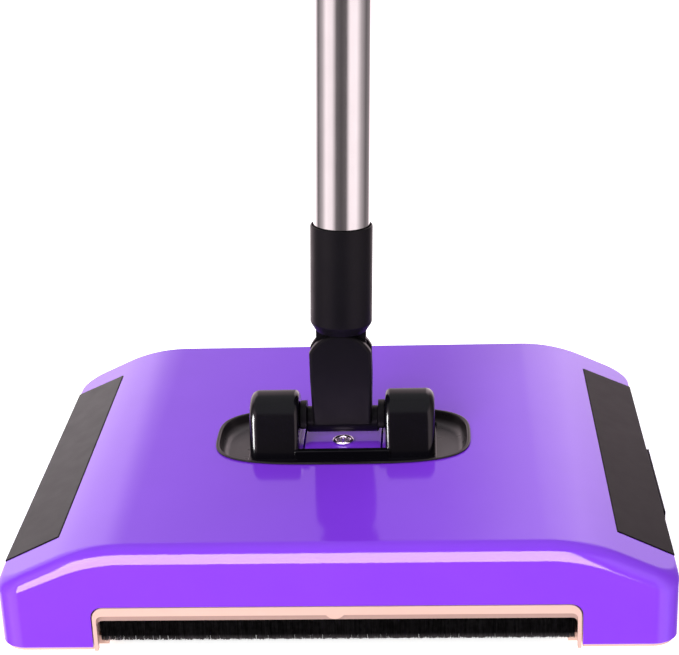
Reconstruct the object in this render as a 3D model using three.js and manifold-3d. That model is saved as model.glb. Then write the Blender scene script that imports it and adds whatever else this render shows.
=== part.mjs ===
// Hand-push carpet sweeper: a low domed head on four wheels, with a geared brush roller behind its
// front mouth, a dust tray that pulls out sideways, and a long tube handle on a two-way joint.
// Millimetres. X is to the sweeper's right, -Y is its front, +Z is up, and the floor is z = 0.
import * as THREE from 'three';
import { mergeVertices } from 'three/addons/utils/BufferGeometryUtils.js';
import Module from 'manifold-3d';

const wasm = await Module();
wasm.setup();

// ---------------------------------------------------------------- driving dimensions
const GAP = 0.3; // between pieces that touch on the real object
const REACH = 400; // longer than anything that is cut

const HEAD_WIDTH = 280;
const HEAD_DEPTH = 214;
const CROWN_Z = 51; // flat top of the cover
const COVER_EDGE_Z = 6; // lower edge of the cover
const COVER_WALL = 3;
const CORNER_R = 11; // corners of the head seen from above
const TOP_EDGE_R = 7.5; // rounding between the top and the front and rear faces
const CROWN_HALF = 85; // half width of the flat part of the top
const SHOULDER_X = 115.6; // where the straight shoulder starts
const SHOULDER_Z = 44.5;
const SHOULDER_SLOPE = 0.46; // fall of the shoulder per mm outwards

const PANEL_FRONT_Y = -82.5;
const PANEL_REAR_Y = 87;
const PANEL_OUTER_X = 139.3;
const PANEL_THICKNESS = 1.5;
const PANEL_PROUD = 0.4;
const PANEL_FOOT_Z = 32.3; // lowest edge of a panel, at its outer side

const MOUTH_HALF = 100.6; // brush mouth in the front face
const MOUTH_TOP_Z = 24.8;
const MOUTH_CORNER_R = 5;

const FRAME_BOTTOM_Z = 4;
const FRAME_TOP_Z = 8;

const DRIVE_R = 17; // outside of the driven tyres
const DRIVE_Y = -46.5;
const REAR_R = 12;
const REAR_Y = 82;
const ROLLER_R = 19; // bristle tips
const ROLLER_Y = -83;
const ROLLER_Z = 19.5;
const CORE_R = 7;
const ROLLER_HALF = 94;

const GEAR_MODULE = 1;
const DRIVE_TEETH = 28;
const IDLER_TEETH = 16;
const PINION_TEETH = 14;

const TRAY_FRONT_Y = -24;
const TRAY_REAR_Y = 60;
const TRAY_BOTTOM_Z = 8.5;
const TRAY_TOP_Z = 31;

const WELL_Y = -1.5; // centre of the oval well in the top
const WELL_HALF_X = 57.8;
const WELL_HALF_Y = 29.8;
const WELL_FLOOR_Z = CROWN_Z - 7;
const WELL_MARGIN = 1.2; // how far the bezel's flange lies on the cover
const WELL_WALL = 2.4;

const PIVOT_Z = 59; // pitch axis, above the crown
const SHAFT_R = 3;
const BARREL_R = 5.9;
const BARREL_HALF = 16.4;
const CHEEK_IN = 19.4;
const CHEEK_OUT = 41.8;
const CHEEK_R = 13.5;
const CHEEK_FRONT_Y = -18; // foot of a cheek's sloping front

const LEAN = THREE.MathUtils.degToRad(4); // the handle leans back as it stands
const SIDE_TILT = THREE.MathUtils.degToRad(2); // and a little to its right
const SWING_UP = 27; // swing pin above the pitch axis
const KNUCKLE_R = 15.35;
const TONGUE_HALF_WIDTH = 11.2;
const COLLAR_R = 13.8;
const COLLAR_START = 42.7; // these distances run up the handle from the pitch axis
const COLLAR_RIM = 91.4;
const TUBE_R = 12.5;
const TUBE_BORE_R = 11.3;
const TUBE_START = 53.5;
const COUPLER_LENGTH = 25.7;
const TUBE_ENDS = [378, 724, 1050];
const GRIP_START = 945;
const CAP_TOP = 1082;

// ---------------------------------------------------------------- materials
const finish = (color, roughness, metalness = 0) =>
  new THREE.MeshStandardMaterial({ color, roughness, metalness });
const PURPLE = finish(0x7f35e0, 0.15);
const BLACK_GLOSS = finish(0x16151b, 0.2);
const BLACK_SATIN = finish(0x2a262b, 0.45);
const SMOKE = finish(0x3c383c, 0.35);
const PEACH = finish(0xe8bfae, 0.4);
const CHROME = finish(0xcfc9c6, 0.15, 1);
const STEEL = finish(0x9a9a9c, 0.3, 1);
const RUBBER = finish(0x1c1c1d, 0.8);
const BRISTLE = finish(0x141315, 0.9);
const GREY_PLASTIC = finish(0x6b6870, 0.5);
const NYLON = finish(0xe6e2d8, 0.5);

// ---------------------------------------------------------------- solids
// A three.js geometry as a solid that can be joined and cut.
function solid(geometry) {
  const bare = geometry.index ? geometry.toNonIndexed() : geometry.clone();
  bare.deleteAttribute('normal');
  bare.deleteAttribute('uv');
  const merged = mergeVertices(bare, 1e-4);
  const corners = merged.index.array;
  const triangles = [];
  for (let i = 0; i < corners.length; i += 3) {
    const [a, b, c] = [corners[i], corners[i + 1], corners[i + 2]];
    if (a !== b && b !== c && c !== a) triangles.push(a, b, c);
  }
  return new wasm.Manifold(new wasm.Mesh({
    numProp: 3,
    vertProperties: merged.attributes.position.array,
    triVerts: Uint32Array.from(triangles),
  }));
}

// The two places of a side's span in rising order; side is -1 on the left and 1 on the right.
const span = (side, inner, outer) => (side > 0 ? [inner, outer] : [-outer, -inner]);

const join = (first, ...others) => others.reduce((whole, next) => whole.add(next), first);
const cut = (first, ...others) => others.reduce((whole, next) => whole.subtract(next), first);

function meshOf(name, body, material) {
  const { vertProperties, triVerts } = body.getMesh();
  const geometry = new THREE.BufferGeometry();
  geometry.setAttribute('position', new THREE.BufferAttribute(vertProperties, 3));
  geometry.setIndex(new THREE.BufferAttribute(triVerts, 1));
  geometry.computeVertexNormals();
  const mesh = new THREE.Mesh(geometry, material);
  mesh.name = name;
  return mesh;
}

const AXES = {
  // Where a shape's own x, its own y and the extrusion go.
  X: [new THREE.Vector3(0, 1, 0), new THREE.Vector3(0, 0, 1), new THREE.Vector3(1, 0, 0)],
  Y: [new THREE.Vector3(1, 0, 0), new THREE.Vector3(0, 0, 1), new THREE.Vector3(0, -1, 0)],
  Z: [new THREE.Vector3(1, 0, 0), new THREE.Vector3(0, 1, 0), new THREE.Vector3(0, 0, 1)],
};

// A shape extruded along an axis, between two places on it. Along X the shape is drawn in (y, z),
// along Y in (x, z) and along Z in (x, y).
function prism(axis, shape, from, to, segments = 6) {
  const geometry = new THREE.ExtrudeGeometry(shape, {
    depth: to - from, bevelEnabled: false, curveSegments: segments,
  });
  geometry.applyMatrix4(new THREE.Matrix4().makeBasis(...AXES[axis]));
  const start = AXES[axis][2].clone().multiplyScalar(axis === 'Y' ? -to : from);
  geometry.translate(start.x, start.y, start.z);
  return solid(geometry);
}

function block(x0, x1, y0, y1, z0, z1) {
  const geometry = new THREE.BoxGeometry(x1 - x0, y1 - y0, z1 - z0);
  geometry.translate((x0 + x1) / 2, (y0 + y1) / 2, (z0 + z1) / 2);
  return solid(geometry);
}

function rod(axis, radius, from, to, u = 0, v = 0, sides = 24) {
  const geometry = new THREE.CylinderGeometry(radius, radius, to - from, sides);
  const middle = (from + to) / 2;
  if (axis === 'X') geometry.rotateZ(-Math.PI / 2).translate(middle, u, v);
  if (axis === 'Y') geometry.translate(u, middle, v);
  if (axis === 'Z') geometry.rotateX(Math.PI / 2).translate(u, v, middle);
  return solid(geometry);
}

// A turned piece. Its profile is a list of [radius, distance] and closes on itself or on the axis.
function turned(axis, profile, u = 0, v = 0, sides = 28) {
  const points = profile.map(([radius, along]) => new THREE.Vector2(radius, along));
  const closed = profile[0][0] !== 0;
  if (closed) points.push(points[0].clone());
  const geometry = new THREE.LatheGeometry(points, sides);
  if (axis === 'X') geometry.rotateZ(-Math.PI / 2).translate(0, u, v);
  if (axis === 'Z') geometry.rotateX(Math.PI / 2).translate(u, v, 0);
  return solid(geometry);
}

function roundedRect(width, depth, radius, cx = 0, cy = 0) {
  const [x, y] = [width / 2 - radius, depth / 2 - radius];
  const shape = new THREE.Shape();
  shape.absarc(cx + x, cy + y, radius, 0, Math.PI / 2);
  shape.absarc(cx - x, cy + y, radius, Math.PI / 2, Math.PI);
  shape.absarc(cx - x, cy - y, radius, Math.PI, 1.5 * Math.PI);
  shape.absarc(cx + x, cy - y, radius, 1.5 * Math.PI, 2 * Math.PI);
  return shape;
}

function polygon(points) {
  return new THREE.Shape(points.map(([a, b]) => new THREE.Vector2(a, b)));
}

// The well's outline: an ellipse squared off towards its corners.
function ovalShape(halfX, halfY, steps = 36) {
  const power = 2 / 3.4;
  const squared = (value) => Math.sign(value) * Math.abs(value) ** power;
  const points = [];
  for (let i = 0; i < steps; i += 1) {
    const angle = (2 * Math.PI * i) / steps;
    points.push([halfX * squared(Math.cos(angle)), WELL_Y + halfY * squared(Math.sin(angle))]);
  }
  return polygon(points);
}

// ---------------------------------------------------------------- the head's section
const slopeLength = Math.hypot(1, SHOULDER_SLOPE);

// Height of the straight shoulder at x, measured inset mm inside the outer surface.
const shoulderZ = (x, inset) =>
  SHOULDER_Z - SHOULDER_SLOPE * (x - SHOULDER_X) - inset * slopeLength;

// The head seen from the front: flat crown, curved fall, straight shoulder, upright side.
function archShape(inset, bottom) {
  const half = HEAD_WIDTH / 2 - inset;
  const crown = CROWN_Z - inset;
  const rim = 1.2;
  const crest = SHOULDER_X + (shoulderZ(SHOULDER_X, inset) - crown) / SHOULDER_SLOPE;
  const shape = new THREE.Shape();
  shape.moveTo(-half, bottom);
  shape.lineTo(half, bottom);
  shape.lineTo(half, shoulderZ(half, inset) - rim);
  shape.lineTo(half - rim, shoulderZ(half - rim, inset));
  shape.lineTo(SHOULDER_X, shoulderZ(SHOULDER_X, inset));
  shape.quadraticCurveTo(crest, crown, CROWN_HALF, crown);
  shape.lineTo(-CROWN_HALF, crown);
  shape.quadraticCurveTo(-crest, crown, -SHOULDER_X, shoulderZ(SHOULDER_X, inset));
  shape.lineTo(-half + rim, shoulderZ(half - rim, inset));
  shape.lineTo(-half, shoulderZ(half, inset) - rim);
  shape.closePath();
  return shape;
}

const headPlan = (inset) =>
  roundedRect(HEAD_WIDTH - 2 * inset, HEAD_DEPTH - 2 * inset, CORNER_R - inset);

// The head's outer block: the section drawn small and grown back to size over its rounded ends.
function headBlock() {
  const geometry = new THREE.ExtrudeGeometry(archShape(TOP_EDGE_R, -TOP_EDGE_R), {
    depth: HEAD_DEPTH - 2 * TOP_EDGE_R,
    bevelThickness: TOP_EDGE_R,
    bevelSize: TOP_EDGE_R,
    bevelSegments: 4,
    curveSegments: 6,
  });
  geometry.applyMatrix4(new THREE.Matrix4().makeBasis(...AXES.Y));
  geometry.translate(0, HEAD_DEPTH / 2 - TOP_EDGE_R, 0);
  const wide = prism('Y', archShape(0, 0), -HEAD_DEPTH / 2, HEAD_DEPTH / 2);
  return solid(geometry).intersect(wide);
}

const frameLift = FRAME_TOP_Z + GAP;
const screwPlaces = [[-128, -88], [128, -88], [-96, 92], [96, 92]];
const POST_R = 4;
const SCREW_R = 1.5;
const SCREW_HEAD_R = 3.1;
const SCREW_TOP_Z = 20;

// Where a side panel lies, seen from above. The ends of a panel run slightly backwards.
function panelPlan(side, margin) {
  const [inner, outer] = [SHOULDER_X - margin, PANEL_OUTER_X + 4 * margin];
  const [front, rear] = [PANEL_FRONT_Y - margin, PANEL_REAR_Y + margin];
  const points = [[inner, front], [outer, front - 1], [outer, rear + 1], [inner, rear]];
  return polygon((side > 0 ? points : points.reverse()).map(([x, y]) => [side * x, y]));
}

// ---------------------------------------------------------------- casing
const PAD_HALF_X = 17.2;
const PAD_FRONT_Y = -14.4;
const PAD_REAR_Y = 13.6;
const PAD_TOP_Z = CROWN_Z - 1;
const RIB_IN = 18;
const RIB_OUT = 19.7;
const RIB_TOP_Z = CROWN_Z - 1.2;
const CLAMP_Y = -5;
const CLAMP_R = 2;

function topCover() {
  const outside = headBlock().intersect(
    prism('Z', headPlan(0), COVER_EDGE_Z, CROWN_Z + 1));
  const inside = prism('Y', archShape(COVER_WALL, 0), -HEAD_DEPTH / 2, HEAD_DEPTH / 2)
    .intersect(prism('Z', headPlan(COVER_WALL), 0, CROWN_Z));
  const [wellX, wellY] = [WELL_HALF_X - WELL_MARGIN, WELL_HALF_Y - WELL_MARGIN];
  const well = prism('Z', ovalShape(wellX + WELL_WALL, wellY + WELL_WALL),
    WELL_FLOOR_Z - WELL_WALL, CROWN_Z);
  const wellSpace = prism('Z', ovalShape(wellX, wellY), WELL_FLOOR_Z, CROWN_Z + 1);
  const pad = join(
    block(-PAD_HALF_X, PAD_HALF_X, PAD_FRONT_Y, PAD_REAR_Y, WELL_FLOOR_Z - 1, PAD_TOP_Z),
    block(-RIB_OUT, -RIB_IN, PAD_FRONT_Y, PAD_REAR_Y, WELL_FLOOR_Z - 1, RIB_TOP_Z),
    block(RIB_IN, RIB_OUT, PAD_FRONT_Y, PAD_REAR_Y, WELL_FLOOR_Z - 1, RIB_TOP_Z));
  let cover = cut(outside, inside);
  for (const [x, y] of screwPlaces) {
    const post = rod('Z', POST_R, frameLift, CROWN_Z, x, y, 16).intersect(outside);
    cover = cover.add(post).subtract(rod('Z', SCREW_R + GAP, 0, SCREW_TOP_Z + 2, x, y, 12));
  }
  cover = cut(cover.add(well), wellSpace).add(pad);
  const clampHole = rod('Z', CLAMP_R + GAP, WELL_FLOOR_Z - 1, CROWN_Z, 0, CLAMP_Y, 20);
  const mouth = mouthOutline(MOUTH_HALF, MOUTH_TOP_Z, MOUTH_CORNER_R);
  const trayMouth = block(HEAD_WIDTH / 2 - 8, REACH, TRAY_FRONT_Y - 2, TRAY_REAR_Y + 4,
    0, TRAY_TOP_Z + 0.5);
  cover = cut(cover, clampHole, trayMouth,
    prism('Y', mouth, -HEAD_DEPTH / 2 - 1, -HEAD_DEPTH / 2 + 6));
  const skin = prism('Y', archShape(PANEL_THICKNESS - PANEL_PROUD + GAP, 0),
    -HEAD_DEPTH / 2, HEAD_DEPTH / 2);
  for (const side of [-1, 1]) {
    const pocket = prism('Z', panelPlan(side, GAP), PANEL_FOOT_Z - GAP, CROWN_Z);
    cover = cover.subtract(pocket.subtract(skin));
  }
  return cover;
}

function sidePanel(side) {
  const raised = prism('Y', archShape(-PANEL_PROUD, 0), -HEAD_DEPTH / 2, HEAD_DEPTH / 2);
  const under = prism('Y', archShape(PANEL_THICKNESS - PANEL_PROUD, 0),
    -HEAD_DEPTH / 2, HEAD_DEPTH / 2);
  return raised.subtract(under).intersect(prism('Z', panelPlan(side, 0), PANEL_FOOT_Z, CROWN_Z));
}

// ---------------------------------------------------------------- gear train places
const toothedRadius = (teeth) => (GEAR_MODULE * teeth) / 2;
const DRIVE_Z = DRIVE_R;
const firstStep = toothedRadius(DRIVE_TEETH) + toothedRadius(IDLER_TEETH);
const secondStep = toothedRadius(IDLER_TEETH) + toothedRadius(PINION_TEETH);
const trainLength = Math.hypot(ROLLER_Y - DRIVE_Y, ROLLER_Z - DRIVE_Z);
const alongTrain = (firstStep ** 2 - secondStep ** 2 + trainLength ** 2) / (2 * trainLength);
const offTrain = Math.sqrt(firstStep ** 2 - alongTrain ** 2);
const trainDirection = [(ROLLER_Y - DRIVE_Y) / trainLength, (ROLLER_Z - DRIVE_Z) / trainLength];
const IDLER_Y = DRIVE_Y + trainDirection[0] * alongTrain + trainDirection[1] * offTrain;
const IDLER_Z = DRIVE_Z + trainDirection[1] * alongTrain - trainDirection[0] * offTrain;
const GEAR_X = -105; // inner face of the gears, in the left side of the head
const GEAR_WIDTH = 5.4;
const PIN_R = 2;
const WALL_IN = 99; // the two upright walls beside the brush chamber
const WALL_OUT = 101;
const BUSH_R = 5;
const JOURNAL_R = 3;

// A spur gear's outline: straight-sided teeth with room at their tips and flanks.
function gearShape(teeth, phase, y, z) {
  const pitch = toothedRadius(teeth);
  const [root, tip] = [pitch - 1.15 * GEAR_MODULE, pitch + 0.8 * GEAR_MODULE];
  const [rootHalf, tipHalf] = [0.9 * GEAR_MODULE, 0.3 * GEAR_MODULE];
  const points = [];
  for (let i = 0; i < teeth; i += 1) {
    const middle = phase + (2 * Math.PI * i) / teeth;
    const corners = [[root, -rootHalf], [tip, -tipHalf], [tip, tipHalf], [root, rootHalf]];
    for (const [radius, half] of corners) {
      const angle = middle + half / radius;
      points.push([y + radius * Math.cos(angle), z + radius * Math.sin(angle)]);
    }
  }
  return polygon(points);
}

// Turning each gear so that its teeth stand in its neighbour's gaps.
const towardIdler = Math.atan2(IDLER_Z - DRIVE_Z, IDLER_Y - DRIVE_Y);
const towardRoller = Math.atan2(ROLLER_Z - IDLER_Z, ROLLER_Y - IDLER_Y);
const idlerPhase = towardIdler + Math.PI + Math.PI / IDLER_TEETH;
const idlerStep = (2 * Math.PI) / IDLER_TEETH;
const idlerOff = Math.round((towardRoller - idlerPhase) / idlerStep) * idlerStep
  + idlerPhase - towardRoller;
const pinionPhase = towardRoller + Math.PI + Math.PI / PINION_TEETH
  - (idlerOff * IDLER_TEETH) / PINION_TEETH;

const gear = (teeth, phase, y, z, bore) =>
  prism('X', gearShape(teeth, phase, y, z), GEAR_X - GEAR_WIDTH, GEAR_X)
    .subtract(rod('X', bore, -REACH, REACH, y, z, 24));

// ---------------------------------------------------------------- base frame and front trim
const BEARING_IN = 127; // outer walls that carry the drive axles
const BEARING_OUT = 129;
const REAR_WALLS = [[104, 106], [120, 122]];
const MOUTH_REAR_Y = -61;
const MOUTH_FLOOR_HALF = 95; // half width of the brush's opening in the floor
const CHAMBER_FRONT_Y = -101.5;
const WALL_TOP_Z = 35;
const BEARING_TOP_Z = 29;
const REAR_WALL_TOP_Z = 19;
const REAR_SLOT = [107, 119]; // the floor's openings for the rear wheels
const SLOT_ROOM = 1.5;

// An opening in the floor for a drive wheel, wider on the left for the gear beside it.
const driveSlot = (from, to) => block(from, to, DRIVE_Y - DRIVE_R - 2, DRIVE_Y + DRIVE_R + 2,
  0, FRAME_TOP_Z + 1);

function baseFrame() {
  const lip = prism('Z', headPlan(1.5), FRAME_BOTTOM_Z, COVER_EDGE_Z - GAP);
  const floor = prism('Z', headPlan(COVER_WALL + 0.5), COVER_EDGE_Z - GAP - 0.1, FRAME_TOP_Z);
  const [wallFoot, rearWallTop] = [FRAME_TOP_Z - 1, 30];
  let frame = join(lip, floor,
    block(-WALL_OUT, -WALL_IN, CHAMBER_FRONT_Y, TRAY_REAR_Y + 4, wallFoot, WALL_TOP_Z),
    block(WALL_IN, WALL_OUT, CHAMBER_FRONT_Y, TRAY_FRONT_Y - 4, wallFoot, WALL_TOP_Z),
    block(-WALL_OUT, BEARING_OUT, TRAY_REAR_Y + 2, TRAY_REAR_Y + 4, wallFoot, rearWallTop));
  for (const side of [-1, 1]) {
    const bearing = block(...span(side, BEARING_IN, BEARING_OUT), DRIVE_Y - 12, DRIVE_Y + 12,
      wallFoot, BEARING_TOP_Z);
    frame = frame.add(bearing);
    for (const [inner, outer] of REAR_WALLS) {
      frame = frame.add(block(...span(side, inner, outer), REAR_Y - 9, REAR_Y + 9,
        wallFoot, REAR_WALL_TOP_Z));
    }
    frame = cut(frame,
      block(...span(side, ...REAR_SLOT), REAR_Y - REAR_R - SLOT_ROOM, REAR_Y + REAR_R + SLOT_ROOM,
        0, FRAME_TOP_Z + 1),
      rod('X', PIN_R + GAP, ...span(side, REAR_WALLS[0][0] - 1, REAR_WALLS[1][1] + 1),
        REAR_Y, REAR_R, 14),
      rod('X', PIN_R + GAP, ...span(side, WALL_IN - 1, BEARING_OUT + 1), DRIVE_Y, DRIVE_Z, 14),
      rod('X', BUSH_R + GAP, ...span(side, WALL_IN - 1, WALL_OUT + 1), ROLLER_Y, ROLLER_Z, 20));
  }
  frame = cut(frame,
    rod('X', PIN_R + GAP, -WALL_OUT - 1, -WALL_IN + 1, IDLER_Y, IDLER_Z, 14),
    block(-MOUTH_FLOOR_HALF, MOUTH_FLOOR_HALF, -HEAD_DEPTH, MOUTH_REAR_Y, 0, FRAME_TOP_Z + 1),
    block(-MOUTH_HALF, MOUTH_HALF, -HEAD_DEPTH, CHAMBER_FRONT_Y + 0.5, 0, FRAME_TOP_Z + 1),
    driveSlot(-126, -103.5),
    driveSlot(111, 126));
  for (const [x, y] of screwPlaces) {
    frame = cut(frame, rod('Z', SCREW_R + GAP, 0, 10, x, y, 12),
      rod('Z', SCREW_HEAD_R + GAP, 0, FRAME_BOTTOM_Z + 2, x, y, 16));
  }
  return frame;
}

const TRIM_HALF = MOUTH_HALF - GAP;
const TRIM_OPENING_HALF = TRIM_HALF - 1.8;
const TRIM_FRONT_Y = -106.7;
const TRIM_STEP_Y = -105.4; // in front of this the opening is higher
const TRIM_REAR_Y = -104.2;
const TRIM_TOP_Z = MOUTH_TOP_Z - GAP;
const TRIM_FACE = 4.2; // height of the bead's front face
const TRIM_BAR = 6.9; // and with the lip behind it

// The outline of an opening in the mouth, down past the floor.
const mouthOutline = (half, top, radius) => roundedRect(2 * half, 60, radius, 0, top - 30);

function frontTrim() {
  const faceOpening = mouthOutline(TRIM_OPENING_HALF, TRIM_TOP_Z - TRIM_FACE, 2);
  const lipOpening = mouthOutline(TRIM_OPENING_HALF, TRIM_TOP_Z - TRIM_BAR, 2);
  const bead = cut(
    prism('Y', mouthOutline(TRIM_HALF, TRIM_TOP_Z, MOUTH_CORNER_R), TRIM_FRONT_Y, TRIM_REAR_Y),
    prism('Y', faceOpening, -HEAD_DEPTH, TRIM_STEP_Y),
    prism('Y', lipOpening, -HEAD_DEPTH, 0),
    block(-REACH, REACH, -REACH, REACH, -60, FRAME_BOTTOM_Z));
  const tab = rod('Y', 4.6, TRIM_FRONT_Y, TRIM_STEP_Y + 0.2, 0, TRIM_TOP_Z - 1.4, 24)
    .intersect(block(-REACH, REACH, -REACH, REACH, 0, TRIM_TOP_Z - 0.5));
  return bead.add(tab);
}

// A strip of bristles behind the bead, hanging in front of the roller.
const FRINGE_HALF = TRIM_OPENING_HALF - 0.7;
const FRINGE_BOTTOM_Z = 7;

const frontFringe = () => block(-FRINGE_HALF, FRINGE_HALF, TRIM_REAR_Y + GAP, TRIM_REAR_Y + 1.7,
  FRINGE_BOTTOM_Z, TRIM_TOP_Z - GAP);

// ---------------------------------------------------------------- brush roller
function brushCore() {
  const drum = rod('X', CORE_R, -97, 97, ROLLER_Y, ROLLER_Z);
  const journals = rod('X', JOURNAL_R, -111.5, 102.5, ROLLER_Y, ROLLER_Z);
  return join(drum, journals);
}

const brushBristles = () => cut(
  rod('X', ROLLER_R, -ROLLER_HALF, ROLLER_HALF, ROLLER_Y, ROLLER_Z, 32),
  rod('X', CORE_R + GAP, -REACH, REACH, ROLLER_Y, ROLLER_Z, 32));

// A flanged bush that presses into the chamber wall from its outer side.
function rollerBush(side) {
  const ring = [[JOURNAL_R + GAP, 98.3], [BUSH_R, 98.3], [BUSH_R, 101.3],
    [BUSH_R + 1.8, 101.3], [BUSH_R + 1.8, 102.6], [JOURNAL_R + GAP, 102.6]];
  const turnedRing = turned('X', ring, 0, 0, 20);
  const placed = side > 0 ? turnedRing : turnedRing.mirror([1, 0, 0]);
  return placed.translate([0, ROLLER_Y, ROLLER_Z]);
}

// ---------------------------------------------------------------- wheels
const DRIVE_IN = 112.5;
const DRIVE_OUT = 124;
const TYRE_DEPTH = 3.2;

function mirrored(side, body) {
  return side > 0 ? body : body.mirror([1, 0, 0]);
}

function driveWheel(side) {
  const rim = DRIVE_R - TYRE_DEPTH - GAP;
  const bore = PIN_R + GAP;
  const profile = [[bore, DRIVE_IN - 1], [5, DRIVE_IN - 1], [5, 116.5], [rim - 2.4, 116.5],
    [rim - 2.4, DRIVE_IN], [rim, DRIVE_IN], [rim, DRIVE_OUT], [rim - 2.4, DRIVE_OUT],
    [rim - 2.4, 119.5], [5, 119.5], [5, DRIVE_OUT + 1], [bore, DRIVE_OUT + 1]];
  return mirrored(side, turned('X', profile, 0, 0, 24)).translate([0, DRIVE_Y, DRIVE_Z]);
}

function driveTyre(side) {
  const inner = DRIVE_R - TYRE_DEPTH;
  const profile = [[inner, DRIVE_IN], [DRIVE_R - 0.9, DRIVE_IN], [DRIVE_R, DRIVE_IN + 1],
    [DRIVE_R, DRIVE_OUT - 1], [DRIVE_R - 0.9, DRIVE_OUT], [inner, DRIVE_OUT]];
  return mirrored(side, turned('X', profile, 0, 0, 36)).translate([0, DRIVE_Y, DRIVE_Z]);
}

function rearWheel(side) {
  const profile = [[PIN_R + GAP, 107.2], [5, 107.2], [5, 108.5], [REAR_R - 0.8, 108.5],
    [REAR_R, 109.3], [REAR_R, 116.7], [REAR_R - 0.8, 117.5], [5, 117.5], [5, 118.8],
    [PIN_R + GAP, 118.8]];
  return mirrored(side, turned('X', profile, 0, 0, 24)).translate([0, REAR_Y, REAR_R]);
}

const axlePin = (side, inner, outer, y, z) =>
  rod('X', PIN_R, ...span(side, inner, outer), y, z, 14);

// ---------------------------------------------------------------- dust tray
const DOOR_IN = HEAD_WIDTH / 2 - 3.6;
const DOOR_OUT = HEAD_WIDTH / 2 - 0.4;
const LIP_FRONT_Y = -27;
const LIP_REAR_Y = 38;
const LIP_IN = 142; // inner face of the strip, clear of the door
const LIP_OUT = 143.5;
const LIP_POST = 4;

function dustTray() {
  const [left, right] = [-97, DOOR_IN - GAP];
  const wall = 1.8;
  const box = block(left, right, TRAY_FRONT_Y, TRAY_REAR_Y, TRAY_BOTTOM_Z, TRAY_TOP_Z);
  const space = block(left + wall, right - wall, TRAY_FRONT_Y + wall, TRAY_REAR_Y - wall,
    TRAY_BOTTOM_Z + wall, REACH);
  const inlet = block(left + 6, 95, -REACH, TRAY_FRONT_Y + wall + 1, 16.5, REACH);
  return cut(box, space, inlet);
}

const trayDoor = () => block(DOOR_IN, DOOR_OUT, TRAY_FRONT_Y - 1.5, TRAY_REAR_Y + 1.6,
  TRAY_BOTTOM_Z, TRAY_TOP_Z);

// A slim strip that stands off the door on a post at each end.
function trayPullLip() {
  const [low, high] = [15, 24];
  const strip = block(LIP_IN, LIP_OUT, LIP_FRONT_Y, LIP_REAR_Y, low, high);
  const posts = [[LIP_FRONT_Y + 4, LIP_FRONT_Y + 4 + LIP_POST], [LIP_REAR_Y - LIP_POST, LIP_REAR_Y]]
    .map(([front, rear]) => block(DOOR_OUT + GAP, LIP_IN + 0.5, front, rear, low, high));
  return join(strip, ...posts);
}

// A flexible lip that guides dirt from the floor up into the tray.
function scoopRamp() {
  const section = polygon([[-63, 1], [-61.3, 1], [-61.3, frameLift], [-25.5, frameLift],
    [-25.5, 15], [-27, 15], [-60.5, 10.5], [-63, 6]]);
  return prism('X', section, -ROLLER_HALF, ROLLER_HALF);
}

// ---------------------------------------------------------------- pivot housing on the top
const BEZEL_FLOOR_Z = WELL_FLOOR_Z + GAP;
const BEZEL_FLOOR = 1.6;
const BEZEL_TOP_Z = CROWN_Z + 0.8;

// The well's outline, drawn inset mm smaller.
const insetOval = (inset) => ovalShape(WELL_HALF_X - inset, WELL_HALF_Y - inset);

// Room for the cover's pad and its ribs, up to the height top.
const padWindow = (besideX, besideY, top) => block(-RIB_OUT - besideX, RIB_OUT + besideX,
  PAD_FRONT_Y - besideY, PAD_REAR_Y + besideY, 0, top);

function pivotBezel() {
  const skin = prism('Z', insetOval(WELL_MARGIN + GAP), BEZEL_FLOOR_Z, BEZEL_TOP_Z);
  const flange = prism('Z', insetOval(0), CROWN_Z + GAP, BEZEL_TOP_Z);
  const hollow = prism('Z', insetOval(3), BEZEL_FLOOR_Z + BEZEL_FLOOR, CROWN_Z + 2);
  return cut(skin.add(flange), hollow, padWindow(0.9, 1.2, REACH));
}

const PLINTH_Z = BEZEL_FLOOR_Z + BEZEL_FLOOR + GAP;
const CHEEK_SLOPE = THREE.MathUtils.degToRad(19);
const SHAFT_HALF = 38.5;
const BAR_FRONT_Y = -18.2;
const BAR_REAR_Y = 18;

function cheek(side) {
  const shape = new THREE.Shape();
  shape.moveTo(CHEEK_FRONT_Y, PLINTH_Z);
  shape.lineTo(CHEEK_R, PLINTH_Z);
  shape.lineTo(CHEEK_R, PIVOT_Z);
  shape.absarc(0, PIVOT_Z, CHEEK_R, 0, Math.PI - CHEEK_SLOPE);
  shape.closePath();
  return prism('X', shape, ...span(side, CHEEK_IN, CHEEK_OUT), 10);
}

function pivotBracket() {
  const plinthTop = PLINTH_Z + 1.3;
  const barTop = CROWN_Z + 0.4;
  const plinth = block(-CHEEK_OUT - 0.7, CHEEK_OUT + 0.7, -REACH, 20, PLINTH_Z, plinthTop)
    .intersect(prism('Z', insetOval(3.4), 0, REACH));
  const barHalf = CHEEK_IN + 1;
  return cut(
    join(plinth, cheek(-1), cheek(1),
      block(-barHalf, barHalf, BAR_FRONT_Y, PAD_FRONT_Y - 0.4, PLINTH_Z, barTop),
      block(-barHalf, barHalf, PAD_REAR_Y + 0.4, BAR_REAR_Y, PLINTH_Z, barTop)),
    rod('X', SHAFT_R + GAP, -SHAFT_HALF - 0.5, SHAFT_HALF + 0.5, 0, PIVOT_Z, 20),
    padWindow(0.5, 0.4, CROWN_Z));
}

function clampScrew() {
  const [under, radius, top] = [PAD_TOP_Z + GAP, 5.4, PAD_TOP_Z + 1.5];
  const head = turned('Z', [[0, under], [radius, under], [radius, top - 0.6],
    [radius - 1, top], [0, top]], 0, CLAMP_Y, 20);
  const shank = rod('Z', CLAMP_R, WELL_FLOOR_Z + 0.5, PAD_TOP_Z + 0.5, 0, CLAMP_Y, 14);
  return head.add(shank);
}

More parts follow.
